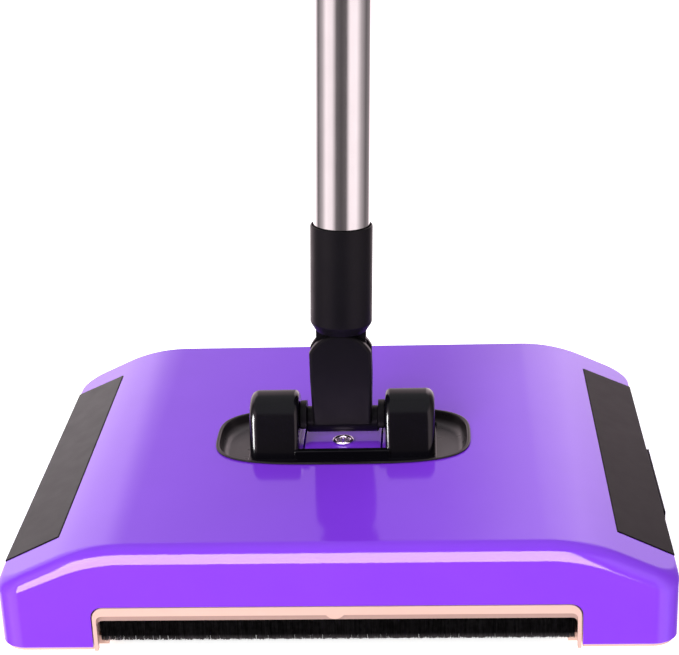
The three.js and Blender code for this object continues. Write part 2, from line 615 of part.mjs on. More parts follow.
function baseScrew([x, y]) {
  return join(
    rod('Z', SCREW_HEAD_R, FRAME_BOTTOM_Z + 0.2, FRAME_BOTTOM_Z + 1.7, x, y, 16),
    rod('Z', SCREW_R, FRAME_BOTTOM_Z + 1.6, SCREW_TOP_Z, x, y, 12));
}

// ---------------------------------------------------------------- handle, drawn upright from z = 0
const STEM_HALF_T = 7.5;
const STEM_FOOT_HALF = 13.2; // half widths of the stem, at the barrel and at the knuckle
const STEM_TOP_HALF = 13.9;
const KNEE_UP = 20.4;
const SLOT_HALF = 3.2;
const CAM_R = 8.6;
const CAM_NECK_R = 4.6;
const CAM_REACH = THREE.MathUtils.degToRad(10); // how far a cam runs below the axis
const CAM_OUT = 19.2;

function pivotYoke() {
  const stem = new THREE.Shape();
  const kneeAngle = Math.acos(STEM_TOP_HALF / KNUCKLE_R);
  stem.moveTo(-STEM_FOOT_HALF, 0);
  stem.lineTo(STEM_FOOT_HALF, 0);
  stem.lineTo(STEM_TOP_HALF, KNEE_UP);
  stem.absarc(0, SWING_UP, KNUCKLE_R, kneeAngle, Math.PI - kneeAngle);
  stem.lineTo(-STEM_TOP_HALF, KNEE_UP);
  stem.closePath();
  // Two cams on the barrel stop the handle from falling forwards.
  const cam = new THREE.Shape();
  cam.absarc(0, 0, CAM_R, -CAM_REACH, Math.PI + CAM_REACH);
  cam.absarc(0, 0, CAM_NECK_R, Math.PI + CAM_REACH, 2 * Math.PI - CAM_REACH);
  cam.closePath();
  const slotFloor = SWING_UP - TONGUE_HALF_WIDTH - 0.6;
  return cut(
    join(prism('Y', stem, -STEM_HALF_T, STEM_HALF_T, 10),
      rod('X', BARREL_R, -BARREL_HALF, BARREL_HALF, 0, 0, 28),
      prism('X', cam, -CAM_OUT, -BARREL_HALF + 0.1, 8),
      prism('X', cam, BARREL_HALF - 0.1, CAM_OUT, 8)),
    rod('X', SHAFT_R + GAP, -REACH, REACH, 0, 0, 20),
    block(-REACH, REACH, -SLOT_HALF, SLOT_HALF, slotFloor, REACH),
    rod('Y', PIN_R + GAP, -6, REACH, 0, SWING_UP, 20));
}

function swingPin() {
  return join(rod('Y', PIN_R, -5.7, STEM_HALF_T + GAP + 0.2, 0, SWING_UP, 20),
    rod('Y', 3.6, STEM_HALF_T + GAP, STEM_HALF_T + 1.8, 0, SWING_UP, 24));
}

function handleSocket() {
  const tongue = new THREE.Shape();
  tongue.moveTo(TONGUE_HALF_WIDTH, COLLAR_START + 1);
  tongue.lineTo(-TONGUE_HALF_WIDTH, COLLAR_START + 1);
  tongue.lineTo(-TONGUE_HALF_WIDTH, SWING_UP);
  tongue.absarc(0, SWING_UP, TONGUE_HALF_WIDTH, Math.PI, 2 * Math.PI);
  tongue.closePath();
  const bore = TUBE_R + GAP;
  const collar = turned('Z', [[0, COLLAR_START], [TONGUE_HALF_WIDTH, COLLAR_START],
    [COLLAR_R, COLLAR_START + 4], [COLLAR_R, COLLAR_RIM - 0.5], [COLLAR_R - 0.5, COLLAR_RIM],
    [bore, COLLAR_RIM], [bore, TUBE_START - GAP], [0, TUBE_START - GAP]]);
  return cut(
    join(prism('Y', tongue, -SLOT_HALF + GAP, SLOT_HALF - GAP, 10), collar),
    rod('Y', PIN_R + GAP, -REACH, REACH, 0, SWING_UP, 20));
}

function tubeSection(from, to) {
  return turned('Z', [[TUBE_BORE_R, from], [TUBE_R, from], [TUBE_R, to], [TUBE_BORE_R, to]]);
}

// A black collar between two tubes, with a spigot into each of them.
function coupler(at) {
  const [low, high] = [at + GAP, at + COUPLER_LENGTH];
  const [spigot, body, reach] = [TUBE_BORE_R - GAP, COLLAR_R, 18];
  return turned('Z', [[0, low - reach], [spigot, low - reach], [spigot, low], [body - 0.8, low],
    [body, low + 1.5], [body, high - 1.5], [body - 0.8, high], [spigot, high],
    [spigot, high + reach], [0, high + reach]]);
}

function handGrip() {
  const [bore, neck, waist, swell] = [TUBE_R + GAP, 15, 15.2, 15.8];
  const top = TUBE_ENDS[2];
  return turned('Z', [[bore, GRIP_START], [neck, GRIP_START], [swell, GRIP_START + 4],
    [swell, GRIP_START + 14], [waist, GRIP_START + 50], [swell, top - 12], [swell, top - 2],
    [neck, top + 1], [bore, top + 1]]);
}

function gripCap() {
  const base = TUBE_ENDS[2] + 1 + GAP;
  const [loopR, holeR] = [11, 5.5];
  const holeZ = CAP_TOP - loopR;
  const stub = turned('Z', [[0, base - 18], [TUBE_BORE_R - GAP, base - 18],
    [TUBE_BORE_R - GAP, base], [15.3, base], [15.3, base + 3], [13, base + 6], [0, base + 6]]);
  const loop = new THREE.Shape();
  loop.moveTo(-loopR, base + 4);
  loop.lineTo(loopR, base + 4);
  loop.absarc(0, holeZ, loopR, 0, Math.PI);
  loop.closePath();
  return cut(stub.add(prism('Y', loop, -4.5, 4.5, 12)),
    rod('Y', holeR, -REACH, REACH, 0, holeZ, 24));
}

// ---------------------------------------------------------------- assembly
const sweeper = new THREE.Group();

const head = new THREE.Group();
head.add(
  meshOf('top_cover', topCover(), PURPLE),
  meshOf('left_side_panel', sidePanel(-1), BLACK_SATIN),
  meshOf('right_side_panel', sidePanel(1), BLACK_SATIN),
  meshOf('base_frame', baseFrame(), PEACH),
  meshOf('front_trim', frontTrim(), PEACH),
  meshOf('front_fringe', frontFringe(), BRISTLE),
  meshOf('scoop_ramp', scoopRamp(), RUBBER),
  meshOf('pivot_bezel', pivotBezel(), SMOKE),
  meshOf('pivot_bracket', pivotBracket(), BLACK_GLOSS),
  meshOf('clamp_screw', clampScrew(), CHROME),
  meshOf('pivot_shaft', rod('X', SHAFT_R, -SHAFT_HALF, SHAFT_HALF, 0, PIVOT_Z, 20), STEEL),
  meshOf('left_drive_axle', axlePin(-1, 99.2, 128.8, DRIVE_Y, DRIVE_Z), STEEL),
  meshOf('right_drive_axle', axlePin(1, 99.2, 128.8, DRIVE_Y, DRIVE_Z), STEEL),
  meshOf('idler_pin', axlePin(-1, 99.2, 112, IDLER_Y, IDLER_Z), STEEL),
  meshOf('left_rear_axle', axlePin(-1, 104.2, 121.8, REAR_Y, REAR_R), STEEL),
  meshOf('right_rear_axle', axlePin(1, 104.2, 121.8, REAR_Y, REAR_R), STEEL),
  meshOf('left_roller_bush', rollerBush(-1), NYLON),
  meshOf('right_roller_bush', rollerBush(1), NYLON),
);
screwPlaces.forEach((place, i) => {
  head.add(meshOf(`base_screw_${i + 1}`, baseScrew(place), STEEL));
});
sweeper.add(head);

const roller = new THREE.Group();
roller.add(
  meshOf('brush_core', brushCore(), GREY_PLASTIC),
  meshOf('brush_bristles', brushBristles(), BRISTLE),
  meshOf('roller_pinion', gear(PINION_TEETH, pinionPhase, ROLLER_Y, ROLLER_Z, JOURNAL_R + GAP),
    NYLON),
);
sweeper.add(roller);

const wheels = new THREE.Group();
wheels.add(
  meshOf('idler_gear', gear(IDLER_TEETH, idlerPhase, IDLER_Y, IDLER_Z, PIN_R + GAP), NYLON),
  meshOf('drive_gear', gear(DRIVE_TEETH, towardIdler, DRIVE_Y, DRIVE_Z, PIN_R + GAP), NYLON),
  meshOf('left_drive_wheel', driveWheel(-1), GREY_PLASTIC),
  meshOf('right_drive_wheel', driveWheel(1), GREY_PLASTIC),
  meshOf('left_drive_tyre', driveTyre(-1), RUBBER),
  meshOf('right_drive_tyre', driveTyre(1), RUBBER),
  meshOf('left_rear_wheel', rearWheel(-1), GREY_PLASTIC),
  meshOf('right_rear_wheel', rearWheel(1), GREY_PLASTIC),
);
sweeper.add(wheels);

const tray = new THREE.Group();
tray.add(
  meshOf('dust_tray', dustTray(), GREY_PLASTIC),
  meshOf('tray_door', trayDoor(), PURPLE),
  meshOf('tray_pull_lip', trayPullLip(), BLACK_SATIN),
);
sweeper.add(tray);

// The yoke turns on the pitch axis, and the handle on the swing pin in the yoke.
const yoke = new THREE.Group();
yoke.position.z = PIVOT_Z;
yoke.rotation.x = -LEAN;
yoke.add(meshOf('pivot_yoke', pivotYoke(), BLACK_SATIN), meshOf('swing_pin', swingPin(), STEEL));
sweeper.add(yoke);

const swing = new THREE.Group();
swing.position.z = SWING_UP;
swing.rotation.y = SIDE_TILT;
yoke.add(swing);

const handle = new THREE.Group();
handle.position.z = -SWING_UP;
const sections = [['lower_tube', TUBE_START], ['middle_tube', TUBE_ENDS[0] + COUPLER_LENGTH + GAP],
  ['upper_tube', TUBE_ENDS[1] + COUPLER_LENGTH + GAP]];
handle.add(meshOf('handle_socket', handleSocket(), BLACK_SATIN));
sections.forEach(([name, start], i) => {
  handle.add(meshOf(name, tubeSection(start, TUBE_ENDS[i]), CHROME));
});
handle.add(
  meshOf('lower_coupler', coupler(TUBE_ENDS[0]), BLACK_SATIN),
  meshOf('upper_coupler', coupler(TUBE_ENDS[1]), BLACK_SATIN),
  meshOf('hand_grip', handGrip(), RUBBER),
  meshOf('grip_cap', gripCap(), BLACK_SATIN),
);
swing.add(handle);

export default sweeper;
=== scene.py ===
import math
import random

import bpy
from mathutils import Matrix, Quaternion, Vector


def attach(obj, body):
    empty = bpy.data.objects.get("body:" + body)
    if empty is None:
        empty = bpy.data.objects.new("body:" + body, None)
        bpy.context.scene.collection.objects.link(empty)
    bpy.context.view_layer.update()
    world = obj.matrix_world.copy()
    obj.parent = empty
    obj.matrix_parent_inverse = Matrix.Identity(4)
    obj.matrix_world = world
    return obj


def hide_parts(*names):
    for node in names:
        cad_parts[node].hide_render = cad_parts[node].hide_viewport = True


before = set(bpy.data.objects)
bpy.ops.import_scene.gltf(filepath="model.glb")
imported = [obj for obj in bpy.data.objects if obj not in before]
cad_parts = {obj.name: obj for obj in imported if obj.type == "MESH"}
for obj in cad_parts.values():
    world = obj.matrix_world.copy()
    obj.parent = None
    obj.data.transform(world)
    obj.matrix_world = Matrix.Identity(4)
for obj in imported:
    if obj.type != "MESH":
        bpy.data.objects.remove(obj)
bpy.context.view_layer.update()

# ---------------------------------------------------------------- camera, lights and floor
# A pale sheet of paper, a camera above the head and a little to its right, and three soft boxes
# for matt light: overhead, in front to the left, and behind to the right.
target = Vector((0, -0.0001, 0.1037))
azimuth, elevation, distance = math.radians(3.44), math.radians(21.81), 0.7803
away = Vector((math.sin(azimuth) * math.cos(elevation), -math.cos(azimuth) * math.cos(elevation),
               math.sin(elevation)))
level = away.to_track_quat("Z", "Y")
roll = Quaternion((0, 0, 1), math.radians(-2.22))
bpy.ops.object.camera_add(location=target + away * distance, rotation=(level @ roll).to_euler())
camera = bpy.context.object
camera.data.lens = 92.78
camera.data.sensor_fit = "HORIZONTAL"
camera.data.sensor_width = 36
camera.data.clip_start = 0.02
bpy.context.scene.camera = camera
bpy.context.scene.view_settings.view_transform = "Standard"


def soft_box(name, place, aim, width, height, power, glossy=True, diffuse=True):
    """A rectangular lamp that faces a point, seen by diffuse or by mirror light or by both."""
    turn = (Vector(place) - Vector(aim)).to_track_quat("Z", "Y").to_euler()
    bpy.ops.object.light_add(type="AREA", location=place, rotation=turn)
    lamp = bpy.context.object
    lamp.name = name
    lamp.data.shape = "RECTANGLE"
    lamp.data.size, lamp.data.size_y = width, height
    lamp.data.energy = power
    lamp.visible_camera = False
    lamp.visible_glossy = glossy
    lamp.visible_diffuse = diffuse
    return lamp


soft_box("overhead_box", (0, 0, 1.7), (0, 0, 0.05), 1.4, 1.0, 10, glossy=False)
soft_box("front_box", (-0.9, -1.6, 0.9), (0, 0, 0.05), 1.0, 0.8, 24, glossy=False)
soft_box("rear_box", (0.6, 1.6, 1.0), (0, 0, 0.3), 1.2, 1.0, 10, glossy=False)

# The room: even light for matt surfaces, and for mirror light a ring of panels of unequal
# brightness by bearing: dim in front, bright towards both front corners, dark at the sides, and
# bright behind, more so to the left, with a dimmer strip in the middle.
world = bpy.data.worlds.new("studio")
bpy.context.scene.world = world
world.use_nodes = True
sky = world.node_tree
even = sky.nodes["Background"]
even.inputs["Color"].default_value = (1, 1, 1, 1)
even.inputs["Strength"].default_value = 0.3
seen = sky.nodes.new("ShaderNodeBackground")
seen.inputs["Color"].default_value = (1, 1, 1, 1)
direction = sky.nodes.new("ShaderNodeTexCoord")
parts = sky.nodes.new("ShaderNodeSeparateXYZ")
sky.links.new(direction.outputs["Generated"], parts.inputs[0])
backward = sky.nodes.new("ShaderNodeMath")
backward.operation = "MULTIPLY"
backward.inputs[1].default_value = -1
sky.links.new(parts.outputs["Y"], backward.inputs[0])
bearing = sky.nodes.new("ShaderNodeMath")
bearing.operation = "ARCTAN2"
sky.links.new(parts.outputs["X"], bearing.inputs[0])
sky.links.new(backward.outputs[0], bearing.inputs[1])
share = sky.nodes.new("ShaderNodeMapRange")
share.inputs["From Min"].default_value = -math.pi
share.inputs["From Max"].default_value = math.pi
sky.links.new(bearing.outputs[0], share.inputs["Value"])
ring = sky.nodes.new("ShaderNodeValToRGB")
panels = [(-180, 0.58), (-176.6, 0.5), (-170, 0.75), (-166, 1.0), (-161, 1.6), (-140, 1.7),
          (-122, 1.3), (-106, 0.15), (-80, 0.5), (-62, 1.2), (-36, 1.05), (-19, 0.16), (0, 0.1),
          (20, 0.16), (34, 1.15), (62, 1.2), (84, 0.5), (112, 0.15), (140, 0.3), (153, 1.3),
          (163, 1.9), (172, 1.6), (176.5, 1.4), (177.2, 1.2), (178.8, 0.78), (180, 0.58)]
RING_TINT = (0.575, 0.475, 0.5)
ring.color_ramp.elements.remove(ring.color_ramp.elements[1])
for degrees, brightness in panels:
    stop = ring.color_ramp.elements.new((degrees + 180) / 360)
    stop.color = (*(share_of * brightness for share_of in RING_TINT), 1)
ring.color_ramp.elements.remove(ring.color_ramp.elements[0])
sky.links.new(share.outputs["Result"], ring.inputs["Fac"])
overhead = sky.nodes.new("ShaderNodeMapRange")
overhead.interpolation_type = "SMOOTHSTEP"
overhead.inputs["From Min"].default_value = 0.62
overhead.inputs["From Max"].default_value = 0.8
sky.links.new(parts.outputs["Z"], overhead.inputs["Value"])
lid = sky.nodes.new("ShaderNodeMix")
lid.data_type = "RGBA"
lid.inputs["B"].default_value = (0.2, 0.2, 0.2, 1)
sky.links.new(overhead.outputs["Result"], lid.inputs["Factor"])
sky.links.new(ring.outputs["Color"], lid.inputs["A"])
mirrored = sky.nodes.new("ShaderNodeBackground")
mirrored.inputs["Strength"].default_value = 2
sky.links.new(lid.outputs["Result"], mirrored.inputs["Color"])
path = sky.nodes.new("ShaderNodeLightPath")
for question, yes, no in [("Is Glossy Ray", mirrored, even), ("Is Camera Ray", seen, None)]:
    either = sky.nodes.new("ShaderNodeMixShader")
    sky.links.new(path.outputs[question], either.inputs[0])
    sky.links.new((no or last).outputs[0], either.inputs[1])
    sky.links.new(yes.outputs[0], either.inputs[2])
    last = either
sky.links.new(last.outputs[0], sky.nodes["World Output"].inputs["Surface"])

bpy.ops.object.select_all(action="DESELECT")
bpy.ops.mesh.primitive_plane_add(size=8, location=(0, 0, 0))
floor = bpy.context.object
floor.name = "paper_floor"
floor.visible_glossy = False
floor.visible_shadow = False
paper = bpy.data.materials.new("white_paper")
paper.use_nodes = True
paper_shader = paper.node_tree.nodes["Principled BSDF"]
paper_shader.inputs["Base Color"].default_value = (0.9, 0.9, 0.9, 1)
paper_shader.inputs["Roughness"].default_value = 0.9
paper_shader.inputs["Emission Color"].default_value = (1, 1, 1, 1)
paper_shader.inputs["Emission Strength"].default_value = 0.75
floor.data.materials.append(paper)

# ---------------------------------------------------------------- top cover
# The purple shell of the head, injection moulded in one piece from glossy ABS. Its flat crown
# curves down into straight shoulders. It is cut for the brush mouth, the two side panels, the
# tray and the pivot housing, and screws to the base frame from below.
HEAD_X, HEAD_Y, CORNER, RIM_R = 140, 107, 11, 7.5
CROWN_Z, COVER_EDGE_Z, WALL = 51, 6, 3
CROWN_HALF, SHOULDER_X, SHOULDER_Z, SLOPE = 85, 115.6, 44.5, 0.46
MOUTH_HALF, MOUTH_TOP_Z = 100.6, 24.8
WELL_Y, WELL_X, WELL_DEPTH_Y, WELL_FLOOR_Z = -1.5, 57.8, 29.8, 44


def clear_selection():
    if bpy.context.object and bpy.context.object.mode != "OBJECT":
        bpy.ops.object.mode_set(mode="OBJECT")
    bpy.ops.object.select_all(action="DESELECT")


def edit(piece):
    """Goes into edit mode on one piece, with all of it selected."""
    clear_selection()
    piece.select_set(True)
    bpy.context.view_layer.objects.active = piece
    bpy.ops.object.mode_set(mode="EDIT")
    bpy.ops.mesh.select_all(action="SELECT")


def leave_edit():
    bpy.ops.object.mode_set(mode="OBJECT")


def millimetres(x, y, z):
    return Vector((x, y, z)) / 1000


def outline(name, points, filled=True, closed=True):
    """A line drawn from point to point in millimetres by extruding one vertex, then filled."""
    clear_selection()
    bpy.ops.mesh.primitive_plane_add(size=0.001, location=(0, 0, 0))
    piece = bpy.context.object
    piece.name = name
    bpy.ops.object.mode_set(mode="EDIT")
    bpy.ops.mesh.merge(type="CENTER")
    bpy.ops.transform.translate(value=millimetres(*points[0]))
    for here, there in zip(points, points[1:]):
        step = millimetres(*there) - millimetres(*here)
        bpy.ops.mesh.extrude_vertices_move(TRANSFORM_OT_translate={"value": step})
    if closed:
        bpy.ops.mesh.select_all(action="SELECT")
        bpy.ops.mesh.edge_face_add()
        if not filled:
            bpy.ops.mesh.delete(type="ONLY_FACE")
            bpy.ops.mesh.select_all(action="SELECT")
    leave_edit()
    return piece


def pull(piece, x, y, z):
    """Extrudes all of a flat piece along a line in millimetres, and closes it into a solid."""
    edit(piece)
    bpy.ops.mesh.extrude_region_move(TRANSFORM_OT_translate={"value": millimetres(x, y, z)})
    bpy.ops.mesh.select_all(action="SELECT")
    bpy.ops.mesh.normals_make_consistent(inside=False)
    leave_edit()
    return piece


def block(name, x0, x1, y0, y1, z0, z1):
    clear_selection()
    middle = millimetres(x0 + x1, y0 + y1, z0 + z1) / 2
    bpy.ops.mesh.primitive_cube_add(size=1, location=middle,
                                    scale=millimetres(x1 - x0, y1 - y0, z1 - z0))
    piece = bpy.context.object
    piece.name = name
    bpy.ops.object.transform_apply(location=True, rotation=True, scale=True)
    return piece


def rod(name, radius, start, end, sides=48):
    """A round bar between two points in millimetres."""
    clear_selection()
    start, end = millimetres(*start), millimetres(*end)
    turn = (end - start).to_track_quat("Z", "Y").to_euler()
    bpy.ops.mesh.primitive_cylinder_add(vertices=sides, radius=radius / 1000,
                                        depth=(end - start).length, location=(start + end) / 2,
                                        rotation=turn)
    piece = bpy.context.object
    piece.name = name
    bpy.ops.object.transform_apply(location=True, rotation=True, scale=True)
    return piece


def apply_modifier(piece, kind, **settings):
    clear_selection()
    piece.select_set(True)
    bpy.context.view_layer.objects.active = piece
    modifier = piece.modifiers.new(kind.lower(), kind)
    for setting, value in settings.items():
        setattr(modifier, setting, value)
    bpy.ops.object.modifier_apply(modifier=modifier.name)


def carve(piece, tool, operation="DIFFERENCE"):
    """Cuts, joins or trims a piece with another one, which is used up."""
    apply_modifier(piece, "BOOLEAN", object=tool, operation=operation, solver="EXACT")
    bpy.data.objects.remove(tool)


def round_edges(piece, radius, segments=3, angle=40):
    apply_modifier(piece, "BEVEL", width=radius / 1000, segments=segments,
                   limit_method="ANGLE", angle_limit=math.radians(angle))


def smooth(piece, angle=35):
    """Smooth shading that stays flat on flat faces."""
    clear_selection()
    piece.select_set(True)
    bpy.context.view_layer.objects.active = piece
    bpy.ops.object.shade_smooth_by_angle(angle=math.radians(angle))
    apply_modifier(piece, "WEIGHTED_NORMAL", keep_sharp=True, weight=80)


def fit(piece, material, body, slot, *nodes):
    """Gives a finished piece its material and its body, and hides the nodes it stands for."""
    piece.data.materials.clear()
    piece.data.materials.append(material)
    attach(piece, body)
    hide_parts(*nodes)


def shoulder_z(x, inset=0):
    """Height of the straight shoulder, measured this far inside the outer surface."""
    return SHOULDER_Z - SLOPE * (x - SHOULDER_X) - inset * math.hypot(1, SLOPE)


def arch(inset, bottom, reach):
    """The head's section as (x, z): flat crown, curved fall and straight shoulders."""
    crown, sill = CROWN_Z - inset, shoulder_z(SHOULDER_X, inset)
    crest = SHOULDER_X + (sill - crown) / SLOPE
    half = [(reach, bottom), (reach, shoulder_z(reach, inset))]
    steps = 20
    for i in range(steps + 1):
        t = i / steps
        a, b, c = (1 - t) ** 2, 2 * t * (1 - t), t * t
        half.append((a * SHOULDER_X + b * crest + c * CROWN_HALF, a * sill + (b + c) * crown))
    return half + [(-x, z) for x, z in reversed(half)]


def rounded_plan(half_x, half_y, radius, steps=12):
    points = []
    for corner, (sx, sy) in enumerate([(1, 1), (-1, 1), (-1, -1), (1, -1)]):
        for i in range(steps + 1):
            angle = math.pi / 2 * (corner + i / steps)
            points.append((sx * (half_x - radius) + radius * math.cos(angle),
                           sy * (half_y - radius) + radius * math.sin(angle)))
    return points


def squared_oval(half_x, half_y, steps=96):
    """An ellipse squared off towards its corners, round the middle of the well."""
    points = []
    for i in range(steps):
        angle = 2 * math.pi * (i + 0.5) / steps
        c, s = math.cos(angle), math.sin(angle)
        points.append((half_x * math.copysign(abs(c) ** (2 / 3.4), c),
                       WELL_Y + half_y * math.copysign(abs(s) ** (2 / 3.4), s)))
    return points


def plan_block(name, points, low, high):
    return pull(outline(name, [(x, y, low) for x, y in points]), 0, 0, high - low)


cover = plan_block("top_cover_shell", rounded_plan(HEAD_X, HEAD_Y, CORNER), COVER_EDGE_Z, 70)
carve(cover, pull(outline("arch", [(x, -120, z) for x, z in arch(0, -10, 150)]), 0, 240, 0),
      "INTERSECT")
# The rim is rounded 7.5 mm at the front, less at the rear, and 1 mm along the sides under the panels.
weights = cover.data.attributes.new("bevel_weight_edge", "FLOAT", "EDGE")
vertices = cover.data.vertices
for edge in cover.data.edges:
    a, b = (vertices[i].co * 1000 for i in edge.vertices)
    middle = (a + b) / 2
    beside = max(0, abs(middle.y) - (HEAD_Y - CORNER)) / CORNER
    on_wall = (abs(middle.x) > HEAD_X - 0.2 or abs(middle.y) > HEAD_Y - 0.2
               or math.hypot(abs(middle.x) - HEAD_X + CORNER, abs(middle.y) - HEAD_Y + CORNER)
               > CORNER - 0.3 and abs(middle.x) > HEAD_X - CORNER and beside > 0)
    if on_wall and middle.z > 25 and abs(a.z - b.z) < 12:
        weights.data[edge.index].value = 0.13 + (0.87 if middle.y < 0 else 0.12) * beside ** 0.7
apply_modifier(cover, "BEVEL", width=RIM_R / 1000, segments=8, limit_method="WEIGHT")
inside = plan_block("inside", rounded_plan(HEAD_X - WALL, HEAD_Y - WALL, CORNER - WALL), -5, 70)
carve(inside, pull(outline("inner_arch", [(x, -120, z) for x, z in arch(WALL, -10, 150)]),
                   0, 240, 0), "INTERSECT")
carve(cover, inside)
carve(cover, plan_block("well_wall", squared_oval(WELL_X + 1.2, WELL_DEPTH_Y + 1.2),
                        WELL_FLOOR_Z - 2.4, CROWN_Z - 1), "UNION")
carve(cover, plan_block("well", squared_oval(WELL_X - 1.2, WELL_DEPTH_Y - 1.2), WELL_FLOOR_Z, 60))
mouth = [(x, z) for x, z in rounded_plan(MOUTH_HALF, 30, 5)]
carve(cover, pull(outline("mouth", [(x, -120, z + MOUTH_TOP_Z - 30) for x, z in mouth]), 0, 20, 0))
carve(cover, block("tray_mouth", 132, 150, -26, 64, -5, 31.5))
for side in (-1, 1):
    spot = [(115.3, -82.8), (145, -84), (145, 88.2), (115.3, 87.3)]
    pocket = outline("pocket", [(side * x, y, shoulder_z(x, 1.4)) for x, y in spot])
    carve(cover, pull(pocket, side * 3, 0, 6))
for x0, x1, top in [(-17.2, 17.2, 50), (-19.7, -18, 49.8), (18, 19.7, 49.8)]:
    pad = block("pad", x0, x1, -14.4, 13.6, WELL_FLOOR_Z - 1, top)
    round_edges(pad, 0.4, 2)
    carve(cover, pad, "UNION")
smooth(cover)


def finish_of(name, colour, roughness, metallic=0.0):
    """A new material, with its shader and its object coordinates ready to be linked."""
    material = bpy.data.materials.new(name)
    material.use_nodes = True
    nodes, links = material.node_tree.nodes, material.node_tree.links
    shader = nodes["Principled BSDF"]
    shader.inputs["Base Color"].default_value = (*colour, 1)
    shader.inputs["Roughness"].default_value = roughness
    shader.inputs["Metallic"].default_value = metallic
    where = nodes.new("ShaderNodeTexCoord")
    return material, nodes, links, shader, where.outputs["Object"]


def noise(nodes, links, place, scale, detail=3.0, roughness=0.55):
    grain = nodes.new("ShaderNodeTexNoise")
    grain.inputs["Scale"].default_value = scale
    grain.inputs["Detail"].default_value = detail
    grain.inputs["Roughness"].default_value = roughness
    links.new(place, grain.inputs["Vector"])
    return grain.outputs["Fac"]


def spread(nodes, links, value, low, high):
    """Maps the middle of a noise onto a range."""
    span = nodes.new("ShaderNodeMapRange")
    span.inputs["From Min"].default_value = 0.3
    span.inputs["From Max"].default_value = 0.7
    span.inputs["To Min"].default_value = low
    span.inputs["To Max"].default_value = high
    links.new(value, span.inputs["Value"])
    return span.outputs["Result"]


def two_tones(nodes, links, value, first, second):
    ramp = nodes.new("ShaderNodeValToRGB")
    ramp.color_ramp.elements[0].position = 0.35
    ramp.color_ramp.elements[1].position = 0.65
    ramp.color_ramp.elements[0].color = (*first, 1)
    ramp.color_ramp.elements[1].color = (*second, 1)
    links.new(value, ramp.inputs["Fac"])
    return ramp.outputs["Color"]


def bumps(nodes, links, shader, value, depth, strength=0.3):
    bump = nodes.new("ShaderNodeBump")
    bump.inputs["Strength"].default_value = strength
    bump.inputs["Distance"].default_value = depth
    links.new(value, bump.inputs["Height"])
    links.new(bump.outputs["Normal"], shader.inputs["Normal"])


def moulded(name, colour, other, roughness, gloss_range, grain, depth, strength):
    """Moulded plastic: slight colour drift, uneven gloss and the mould's surface grain."""
    material, nodes, links, shader, place = finish_of(name, colour, roughness)
    links.new(two_tones(nodes, links, noise(nodes, links, place, 25), colour, other),
              shader.inputs["Base Color"])
    links.new(spread(nodes, links, noise(nodes, links, place, 120, 5), *gloss_range),
              shader.inputs["Roughness"])
    bumps(nodes, links, shader, noise(nodes, links, place, grain, 2), depth, strength)
    return material, shader


purple, purple_shader = moulded("purple_gloss_plastic", (0.245, 0.047, 0.86), (0.237, 0.045, 0.84),
                                0.1, (0.08, 0.12), 600, 0.00002, 0.06)
purple_shader.inputs["Coat Weight"].default_value = 0.12
purple_shader.inputs["Coat Roughness"].default_value = 0.06
fit(cover, purple, "head", "cover_purple", "top_cover")


def light_only(lamp, *pieces):
    """Lets a lamp shine on these pieces alone."""
    group = bpy.data.collections.new(lamp.name + "_pieces")
    for piece in pieces:
        group.objects.link(piece)
    lamp.light_linking.receiver_collection = group


# A soft box low in front, to the left, is seen only in the cover's gloss. It draws the bright line
# along the front edge.
edge_box = soft_box("edge_box", (-0.35, -1.44, 0.48), (-0.35, -0.107, 0.045), 1.7, 1.7, 105,
                    diffuse=False)
edge_box.data.color = (1, 0.82, 0.95)
light_only(edge_box, cover)

# ---------------------------------------------------------------- side panels
# Two black satin inlays, moulded in grained ABS and pressed into pockets in the shoulders.
panel_black, panel_shader = moulded("grained_black_plastic", (0.011, 0.0085, 0.0105),
                                    (0.0135, 0.0105, 0.013), 0.42, (0.41, 0.45), 2600, 0.00004, 0.15)
for side, name in [(-1, "left"), (1, "right")]:
    spot = [(115.6, -82.5), (139.3, -83.5), (139.3, 88), (115.6, 87)]
    panel = outline(name + "_shoulder_panel",
                    [(side * x, y, shoulder_z(x, 1.1)) for x, y in spot])
    rise = 1.5 / math.hypot(1, SLOPE)
    pull(panel, side * rise * SLOPE, 0, rise)
    round_edges(panel, 0.45, 3)
    smooth(panel)
    fit(panel, panel_black, "head", "panel_black", name + "_side_panel")
    if side < 0:
        panel_box = soft_box("panel_box", (-0.6, 0.9, 0.2), (-0.127, 0, 0.04), 0.8, 0.5, 2.2,
                             diffuse=False)
        light_only(panel_box, panel)
panel_shader.inputs["Specular IOR Level"].default_value = 0.05

# ---------------------------------------------------------------- base frame and its trim
# The floor of the head, moulded in peach polypropylene. Its edge shows as a lip under the cover,
# and a peach bead clips round the brush mouth.
peach, _ = moulded("peach_plastic", (0.83, 0.56, 0.46), (0.8, 0.53, 0.43), 0.35, (0.3, 0.42),
                   900, 0.00003, 0.2)
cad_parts["base_frame"].data.materials.clear()
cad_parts["base_frame"].data.materials.append(peach)

TRIM_HALF, TRIM_TOP_Z, TRIM_FACE_Y, TRIM_DEPTH = 100.1, 24.2, -106.7, 2.5
trim = pull(outline("mouth_bead", [(x, TRIM_FACE_Y, z + TRIM_TOP_Z - 30)
                                   for x, z in rounded_plan(TRIM_HALF, 30, 5)]), 0, TRIM_DEPTH, 0)
